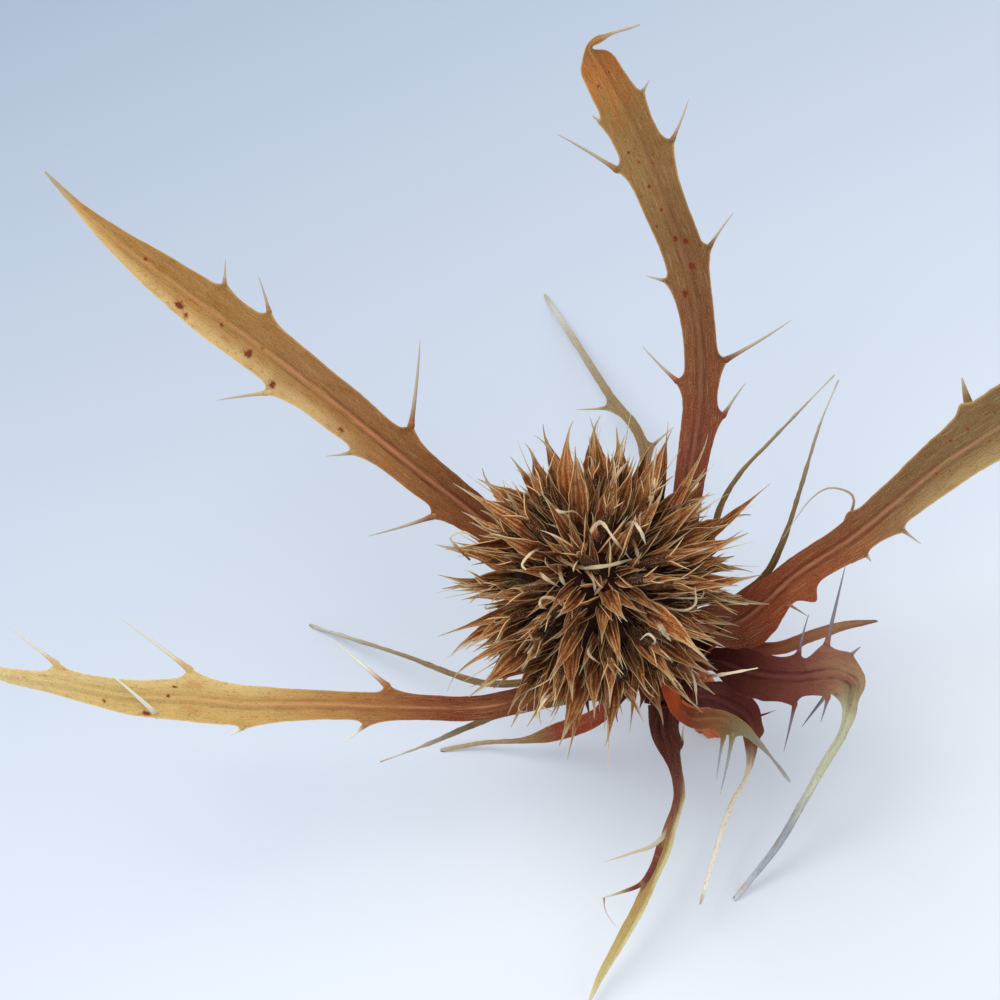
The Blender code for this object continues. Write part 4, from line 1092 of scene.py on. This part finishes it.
class Painter:
    """Small helpers that build one material's nodes."""

    def __init__(self, name, roughness, soft=0.0, shine=0.15):
        self.material = bpy.data.materials.new(name)
        self.material.use_nodes = True
        self.tree = self.material.node_tree
        self.shader = self.tree.nodes["Principled BSDF"]
        self.set(self.shader, {"Roughness": roughness, "Specular IOR Level": shine, "Subsurface Weight": soft,
                               "Subsurface Radius": SCATTER_RADIUS, "Subsurface Scale": SCATTER_SCALE})

    def set(self, node, values):
        for name, value in values.items():
            node.inputs[name].default_value = value

    def node(self, kind, **settings):
        made = self.tree.nodes.new(kind)
        for key, value in settings.items():
            setattr(made, key, value)
        return made

    def feed(self, sockets, values):
        """Links or sets the sockets, in order."""
        for socket, value in zip(sockets, values):
            if isinstance(value, bpy.types.NodeSocket):
                self.tree.links.new(value, socket)
            elif isinstance(value, tuple) and socket.type == "RGBA":
                socket.default_value = (*value, 1.0)
            else:
                socket.default_value = value

    def read(self, name, output="Fac"):
        return self.node("ShaderNodeAttribute", attribute_name=name).outputs[output]

    def math(self, operation, *values):
        made = self.node("ShaderNodeMath", operation=operation)
        self.feed(made.inputs, values)
        return made.outputs[0]

    def times(self, a, b):
        return self.math("MULTIPLY", a, b)

    def swayed(self, value, noise, amount):
        """The value, carried up and down by a noise round 0.5."""
        return self.math("ADD", value, self.times(self.math("SUBTRACT", noise, 0.5), amount))

    def total(self, *shares):
        """The sum of noises, each with its own weight."""
        height = self.times(*shares[0])
        for share in shares[1:]:
            height = self.math("ADD", height, self.times(*share))
        return height

    def fade(self, value, low, high, at_low=0.0, at_high=1.0):
        made = self.node("ShaderNodeMapRange", interpolation_type="SMOOTHSTEP")
        self.feed(made.inputs, (value, low, high, at_low, at_high))
        return made.outputs[0]

    def band(self, value, centre, width):
        """1 at centre, falling to 0 at width either side."""
        return self.fade(self.math("ABSOLUTE", self.math("SUBTRACT", value, centre)), 0.0, width, 1.0, 0.0)

    def mix(self, factor, a, b, blend="MIX"):
        made = self.node("ShaderNodeMix", data_type="RGBA", blend_type=blend)
        self.feed([made.inputs[index] for index in (0, 6, 7)], (factor, a, b))
        return made.outputs[2]

    def layers(self, colour, *layers):
        """Lays shades over a colour, each where its noise runs from low to high, up to its strength."""
        for noise, low, high, strength, shade in layers:
            colour = self.mix(self.fade(noise, low, high, 0.0, strength), colour, shade)
        return colour

    def ramp(self, value, stops):
        made = self.node("ShaderNodeValToRGB")
        self.feed(made.inputs, [value])
        elements = made.color_ramp.elements
        for element, (place, colour) in zip(elements, (stops[0], stops[-1])):
            element.position, element.color = place, (*colour, 1.0)
        for place, colour in stops[1:-1]:
            elements.new(place).color = (*colour, 1.0)
        return made.outputs[0]

    def noise(self, scale, detail=3.0, roughness=0.55):
        """Noise over the paint coordinates (along, across, seed) in millimetres, scaled."""
        stretched = self.node("ShaderNodeVectorMath", operation="MULTIPLY")
        self.feed(stretched.inputs, (self.read("run", "Vector"), scale))
        made = self.node("ShaderNodeTexNoise")
        self.feed([made.inputs["Vector"]], [stretched.outputs[0]])
        self.set(made, {"Scale": 1.0, "Detail": detail, "Roughness": roughness})
        return made.outputs["Fac"]

    def finish(self, colour, height=None, strength=0.4, distance=0.00006):
        self.feed([self.shader.inputs["Base Color"]], [colour])
        if height is not None:
            bump = self.node("ShaderNodeBump")
            self.set(bump, {"Strength": strength, "Distance": distance})
            self.feed([bump.inputs["Height"], self.shader.inputs["Normal"]], (height, bump.outputs["Normal"]))
        return self.material


def bract_material(name, look):
    """A dried bract: shades along it, a rib between dark lines, fibres, blotches, rust spots, pale spines."""
    paint = Painter(name, 0.62, 0.22)
    along = paint.read("along")
    across = paint.read("across")
    margin = tint(*look.get("margin", MARGIN))
    run = paint.node("ShaderNodeSeparateXYZ")
    paint.feed(run.inputs, [paint.read("run", "Vector")])
    broad = paint.fade(paint.read("tone"), 0.4, 0.9)
    fibres = paint.noise((0.5, 12.0, 1.0), 4.0, 0.6)
    threads = paint.noise((1.2, 26.0, 1.0), 3.0, 0.6)
    blotches = paint.noise((0.42, 1.1, 1.0))
    specks = paint.noise((3.4, 6.4, 1.0), 2.0)
    stains = paint.noise((0.9, 2.4, 1.0), 4.0, 0.65)
    grain = paint.noise((10.0, 13.0, 1.0), 2.0, 0.6)
    dots = paint.noise((3.4, 4.2, 1.0), 2.0, 0.5)
    aside = paint.math("ABSOLUTE", paint.swayed(run.outputs[1], stains, 0.12))
    colour = paint.ramp(paint.swayed(along, blotches, 0.16), tints(look["shades"]))
    if "dull_side" in look:
        on_side = paint.fade(paint.times(across, look["dull_side"]), 0.0, 0.2)
        colour = paint.mix(paint.times(on_side, 0.7), colour, paint.mix(1.0, colour, DULLER, "MULTIPLY"))
    if "pale_side" in look:
        hand, start, strength = look["pale_side"]
        on_side = paint.fade(paint.times(across, hand), 0.25, 0.85, 0.0, strength)
        colour = paint.mix(paint.times(on_side, paint.fade(along, start, start + 0.15)), colour, margin)
    warm = paint.mix(1.0, colour, WARMER, "MULTIPLY")
    colour = paint.layers(colour, (blotches, 0.50, 0.74, 0.7, warm))
    pale = paint.mix(0.45, colour, margin)
    colour = paint.layers(colour, (fibres, 0.52, 0.75, 0.6, pale))
    dark = paint.mix(1.0, colour, DARKER, "MULTIPLY")
    colour = paint.layers(
        colour, (fibres, 0.46, 0.25, 0.75, dark), (threads, 0.45, 0.28, 0.5, dark),
        (threads, 0.58, 0.75, 0.35, pale), (specks, 0.60, 0.74, 0.6, dark), (stains, 0.60, 0.72, 0.55, dark),
        (grain, 0.48, 0.34, 0.45, dark), (grain, 0.54, 0.68, 0.4, pale), (dots, 0.38, 0.3, 0.6, dark))
    patchy = paint.times(broad, paint.fade(blotches, 0.62, 0.40, 0.35, 1.0))
    beside = paint.times(paint.band(aside, 0.29, 0.2), paint.fade(along, 0.15, 0.8, 0.85, 0.2))
    colour = paint.mix(paint.times(beside, patchy), colour, tint(*look.get("line", LINE)))
    middle = paint.times(paint.band(aside, 0.0, 0.2), paint.fade(along, 0.45, 0.9, 0.75, 0.1))
    colour = paint.mix(paint.times(middle, patchy), colour, tint(*look.get("rib", RIB)))
    edge = paint.fade(paint.math("ABSOLUTE", across), 0.9, 0.99, 0.0, 0.3)
    colour = paint.mix(paint.times(edge, paint.fade(along, 0.2, 0.5)), colour, margin)
    spot = paint.swayed(paint.swayed(paint.read("spot"), dots, 1.2), stains, 0.8)
    colour = paint.layers(colour, (spot, 0.20, 0.5, 0.6, tint(*HALO)), (spot, 0.46, 0.72, 0.9, tint(*RUST)))
    colour = paint.mix(paint.read("tip"), colour, tint(*look.get("spine", SPINE)))
    height = paint.total((fibres, 0.7), (dots, 0.5), (threads, 0.4), (grain, 0.4))
    return paint.finish(colour, height, 0.7, 0.00008)


def floret_material(name, shades, edge, tip, soft=0.12, strength=0.9):
    """Florets: brown, ribbed and woolly, with pale edges and points, painted shade in the grooves between the
    ribs and a painted highlight on their crests.
    """
    paint = Painter(name, 0.75, soft)
    across = paint.read("across")
    tone = paint.read("tone")
    fibres = paint.noise((1.0, 13.0, 1.0), 4.0, 0.62)
    wool = paint.noise((7.0, 12.0, 1.0), 3.0, 0.65)
    grain = paint.noise((17.0, 22.0, 1.0), 2.0, 0.6)
    patches = paint.noise((0.9, 2.0, 1.0), 2.0)
    colour = paint.ramp(paint.swayed(paint.read("along"), tone, 0.36), tints(shades))
    pale = paint.mix(0.65, colour, tint(*edge))
    dark = paint.mix(1.0, colour, SHADE_AND_DARK_FLECKS, "MULTIPLY")
    russet = paint.mix(1.0, colour, RUSSET, "MULTIPLY")
    ribs = paint.math("COSINE", paint.times(paint.swayed(across, wool, 0.3), 4.0 * math.pi))
    # Painted shade: the grooves between the ribs are darkened; the russet layer is the florets' own colour
    colour = paint.layers(colour, (tone, 0.7, 0.95, 0.6, russet), (ribs, 0.2, -0.9, 0.7, dark))
    # Painted highlight: the crests of the ribs are paled, in patches
    raised = paint.times(paint.fade(ribs, 0.3, 1.0, 0.0, 0.75), paint.fade(patches, 0.4, 0.6, 0.15, 1.0))
    colour = paint.mix(raised, colour, pale)
    colour = paint.layers(
        colour, (patches, 0.52, 0.36, 0.75, dark), (fibres, 0.52, 0.70, 0.7, pale),
        (wool, 0.52, 0.32, 0.8, dark), (grain, 0.47, 0.33, 0.6, dark), (grain, 0.55, 0.68, 0.75, pale),
        (paint.math("ABSOLUTE", across), 0.84, 1.0, 0.85, tint(*edge)),
        (paint.read("spot"), 0.3, 1.0, 1.0, tint(*tip)))
    colour = paint.mix(paint.read("tip"), colour, tint(*tip))
    height = paint.total((ribs, 0.35), (wool, 0.9), (grain, 0.5))
    return paint.finish(colour, height, strength, 0.0001)


STALK_LOOK = {"shades": [(0, 112, 48, 32), (0.5, 170, 84, 50), (1, 200, 110, 70)], "rib": (170, 84, 50),
              "line": (120, 56, 34), "margin": (190, 120, 80)}
FLORET_SHADES = [(0, 60, 20, 5), (0.3, 132, 69, 30), (0.55, 184, 116, 62), (0.8, 222, 170, 112),
                 (1, 240, 206, 158)]
# The core's dark browns, partly its own colour and partly painted shade for the deep gaps between the florets
CORE_BROWN_AND_PAINTED_SHADE = [(0, 58, 25, 10), (1, 84, 42, 20)]
INVOLUCRE_LOOK = {"shades": [(0, 66, 26, 18), (0.4, 96, 42, 28), (1, 120, 66, 44)], "rib": (110, 56, 44),
                  "line": (56, 22, 18), "margin": (134, 84, 60), "spine": (150, 100, 70)}
THREAD_SHADES = [(0, 140, 88, 52), (0.4, 184, 146, 104), (1, 216, 196, 160)]


def make_materials():
    made = {name: bract_material(name, bract) for name, bract in BRACTS.items()}
    made["stem"] = bract_material("stalk_russet", STALK_LOOK)
    made["florets"] = floret_material("floret_brown", FLORET_SHADES, (222, 180, 126), (236, 214, 174))
    made["core"] = floret_material("floret_core", CORE_BROWN_AND_PAINTED_SHADE, (96, 52, 28), (96, 52, 28))
    made["involucre"] = bract_material("stalk_involucre", INVOLUCRE_LOOK)
    made["threads"] = floret_material("floret_thread", THREAD_SHADES, (216, 188, 144), (234, 214, 178), 0.2,
                                      0.5)
    return made


# Stalk

STALK_SIDES = 120
STALK_RIBS = 10
STALK_RIB_HEIGHT = 0.11
STALK_GRAIN = 0.03
STALK_INSET = 0.02
TORN_DEPTH = 0.25
SCALE_LENGTHS = (3.4, 4.6)
SCALE_HALF_WIDTHS = (0.9, 1.3)
SCALE_DEPTH = 0.25
STALK_STEPS = (COLLAR_TOP, COLLAR_TOP + 0.3, COLLAR_FOOT, COLLAR_FOOT + 1.0, COLLAR_FOOT + 2.2, STALK_END)
STALK_RADII = (COLLAR_RADIUS - 0.15, COLLAR_RADIUS, COLLAR_RADIUS, STALK_RADIUS + 0.25, STALK_RADIUS,
               STALK_RADIUS)


def stalk_piece(material):
    """The ribbed stalk and collar, with a torn cut end."""
    skin = Skin()
    axis = np.array(HEAD_AXIS)
    turn = np.arange(STALK_SIDES) * 2 * math.pi / STALK_SIDES
    collar = np.linspace(COLLAR_TOP, COLLAR_FOOT, 16)
    level = np.concatenate([collar, np.linspace(COLLAR_FOOT + 0.2, STALK_END, 40)])
    along = smoothstep(COLLAR_TOP, STALK_END, level)
    level = level[:, None]
    ribbed = smoothstep(COLLAR_FOOT - 0.5, COLLAR_FOOT + 2.0, level)
    ribs = STALK_RIB_HEIGHT * np.cos(turn * STALK_RIBS + 0.3) * (0.25 + 0.75 * ribbed)
    fine = STALK_GRAIN * np.cos(turn * 3 * STALK_RIBS) + STALK_GRAIN * wobble(5, level * 0.8 + 3.0 * turn)
    size = np.interp(level, STALK_STEPS, STALK_RADII) - STALK_INSET + ribs + fine
    torn = np.where(level > STALK_END - 0.6, TORN_DEPTH * wobble(9, turn * 5.0), 0.0)
    height = level + torn * smoothstep(STALK_END - 0.8, STALK_END, level) - 0.1
    drop = -STALK_BEND * np.maximum(height - COLLAR_FOOT, 0.0)[:, :, None] ** 2 * np.array(UPWARDS)
    rings = -height[:, :, None] * axis + drop + size[:, :, None] * rings_round_axis(turn)
    middle = -(STALK_END - 0.35) * axis - STALK_BEND * (STALK_END - COLLAR_FOOT) ** 2 * np.array(UPWARDS)
    inner = [middle + (rings[-1] - middle) * share for share in (0.82, 0.6, 0.3, 0.1)]
    rings = np.concatenate([rings, np.array(inner)])
    run = np.linspace(0, 14, len(rings))[:, None], turn * 1.6, 2.0
    skin.loft(rings, run, along=np.concatenate([along, [0.9, 1.0, 1.0, 1.0]]), across=0.3, tone=0.5)
    return skin.build("stem_looks", material)


def involucre_piece(material):
    """Small dark scales round the collar, which close the gaps between the head and the bracts' bases."""
    skin = Skin()
    chance = random.Random(INVOLUCRE_SEED)
    for number in range(INVOLUCRE_SCALES):
        bearing = 360.0 * (number + chance.uniform(-0.25, 0.25)) / INVOLUCRE_SCALES
        level = chance.uniform(COLLAR_TOP + 0.2, COLLAR_FOOT - 0.9)
        seat = on_axis(level, COLLAR_RADIUS - 0.3, bearing)
        away = (seat - on_axis(level)).normalized()
        outward = (away + chance.uniform(0.0, 0.5) * HEAD_AXIS).normalized()
        reach = chance.uniform(*SCALE_LENGTHS)
        half_width = chance.uniform(*SCALE_HALF_WIDTHS)
        boat_skin(skin, seat, outward, HEAD_AXIS, reach, half_width, SCALE_DEPTH, chance, bend=0.1, shade=0.9)
    return skin.build("stem_involucre", material)


# Stage, lights and camera, in metres

# The floor's painted light: a gradient of its pale blue, darker at the top left of the view and brighter
# towards the lower right, and a weak glow that keeps the shadows on it pale
FLOOR_LIGHT_RUN = (3.6, -6.4, 0.0)
FLOOR_LIGHT_SHIFT = 0.55
FLOOR_BLUE_WITH_PAINTED_LIGHT = [(0.0, (0.238, 0.282, 0.358)), (0.3, (0.348, 0.389, 0.453)), (0.58, (0.452, 0.488, 0.545)),
                (0.7, (0.515, 0.54, 0.575)), (1.0, (0.52, 0.542, 0.575))]
FLOOR_PAINTED_GLOW = 0.35
FLOOR_HALF = 1.5
FLOOR_DROP = 0.00005
SKY = (0.86, 0.92, 1.0, 1.0)
SKY_STRENGTH = 0.86
LIT_PLACE = Vector((0.0, 0.0, 0.015))
# Each light: name, place, size, power, colour
LIGHTS = [("key", (-0.22, 0.10, 0.40), 0.34, 1.7, (1.0, 0.97, 0.93)),
          ("fill", (0.35, -0.30, 0.30), 0.35, 0.5, (0.92, 0.96, 1.0))]


def floor_material():
    """Pale blue, with painted light: a gradient, darker at the top left of the view and brighter towards the
    lower right, and a weak glow that keeps the shadows on the floor pale.
    """
    paint = Painter("floor", 0.95, shine=0.1)
    run = paint.node("ShaderNodeVectorMath", operation="DOT_PRODUCT")
    paint.feed(run.inputs, (paint.node("ShaderNodeTexCoord").outputs["Object"], FLOOR_LIGHT_RUN))
    shade = paint.ramp(paint.math("ADD", run.outputs["Value"], FLOOR_LIGHT_SHIFT), FLOOR_BLUE_WITH_PAINTED_LIGHT)
    # Painted light: the floor glows with its own colour, which lifts the shadows on it
    paint.feed([paint.shader.inputs["Emission Color"]], [shade])
    paint.set(paint.shader, {"Emission Strength": FLOOR_PAINTED_GLOW})
    return paint.finish(shade)


def make_stage():
    mesh = bpy.data.meshes.new("floor")
    corners = [(x * FLOOR_HALF, y * FLOOR_HALF, 0) for x, y in ((-1, -1), (1, -1), (1, 1), (-1, 1))]
    mesh.from_pydata(corners, [], [(0, 1, 2, 3)])
    mesh.materials.append(floor_material())
    floor = bpy.data.objects.new("floor", mesh)
    floor.location.z = -FLOOR_DROP
    bpy.context.scene.collection.objects.link(floor)


def make_lights():
    world = bpy.data.worlds.new("soft_sky")
    world.use_nodes = True
    background = world.node_tree.nodes["Background"]
    background.inputs["Color"].default_value = SKY
    background.inputs["Strength"].default_value = SKY_STRENGTH
    bpy.context.scene.world = world
    for name, place, size, power, colour in LIGHTS:
        light = bpy.data.lights.new(name, "AREA")
        light.size = size
        light.energy = power
        light.color = colour
        lamp = bpy.data.objects.new(name, light)
        lamp.location = place
        lamp.rotation_euler = (LIT_PLACE - Vector(place)).to_track_quat("-Z", "Y").to_euler()
        bpy.context.scene.collection.objects.link(lamp)
    bpy.context.scene.view_settings.view_transform = "Standard"


def make_camera():
    camera_data = bpy.data.cameras.new("camera")
    camera_data.sensor_width = 36.0
    camera_data.lens = camera_data.sensor_width * CAMERA_DISTANCE / FRAME_WIDTH
    camera_data.clip_start = 0.01
    camera_data.clip_end = 10.0
    camera = bpy.data.objects.new("camera", camera_data)
    camera.location = (INTO_ROW @ Vector((*CAMERA_CENTRE, CAMERA_DISTANCE))) * MM
    camera.rotation_euler = Euler((math.radians(BLOOM_TIP), 0.0, 0.0))
    bpy.context.scene.collection.objects.link(camera)
    bpy.context.scene.camera = camera


def main():
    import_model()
    make_stage()
    make_lights()
    make_camera()
    materials = make_materials()

    pieces = []
    for seed, (name, bract) in enumerate(BRACTS.items(), 3):
        piece = bract_piece(name + "_looks", bract, materials[name], seed * 10)
        pieces.append((piece, name, bract["colour"]))
    pieces.append((stalk_piece(materials["stem"]), "stem", "stalk_russet"))
    pieces.append((involucre_piece(materials["involucre"]), "stem", "stalk_russet"))
    pieces += [(piece, "flower_head", "floret_brown") for piece in head_pieces(materials)]
    for piece, node, slot in pieces:
        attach(piece, "root")
        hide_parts(node)


main()
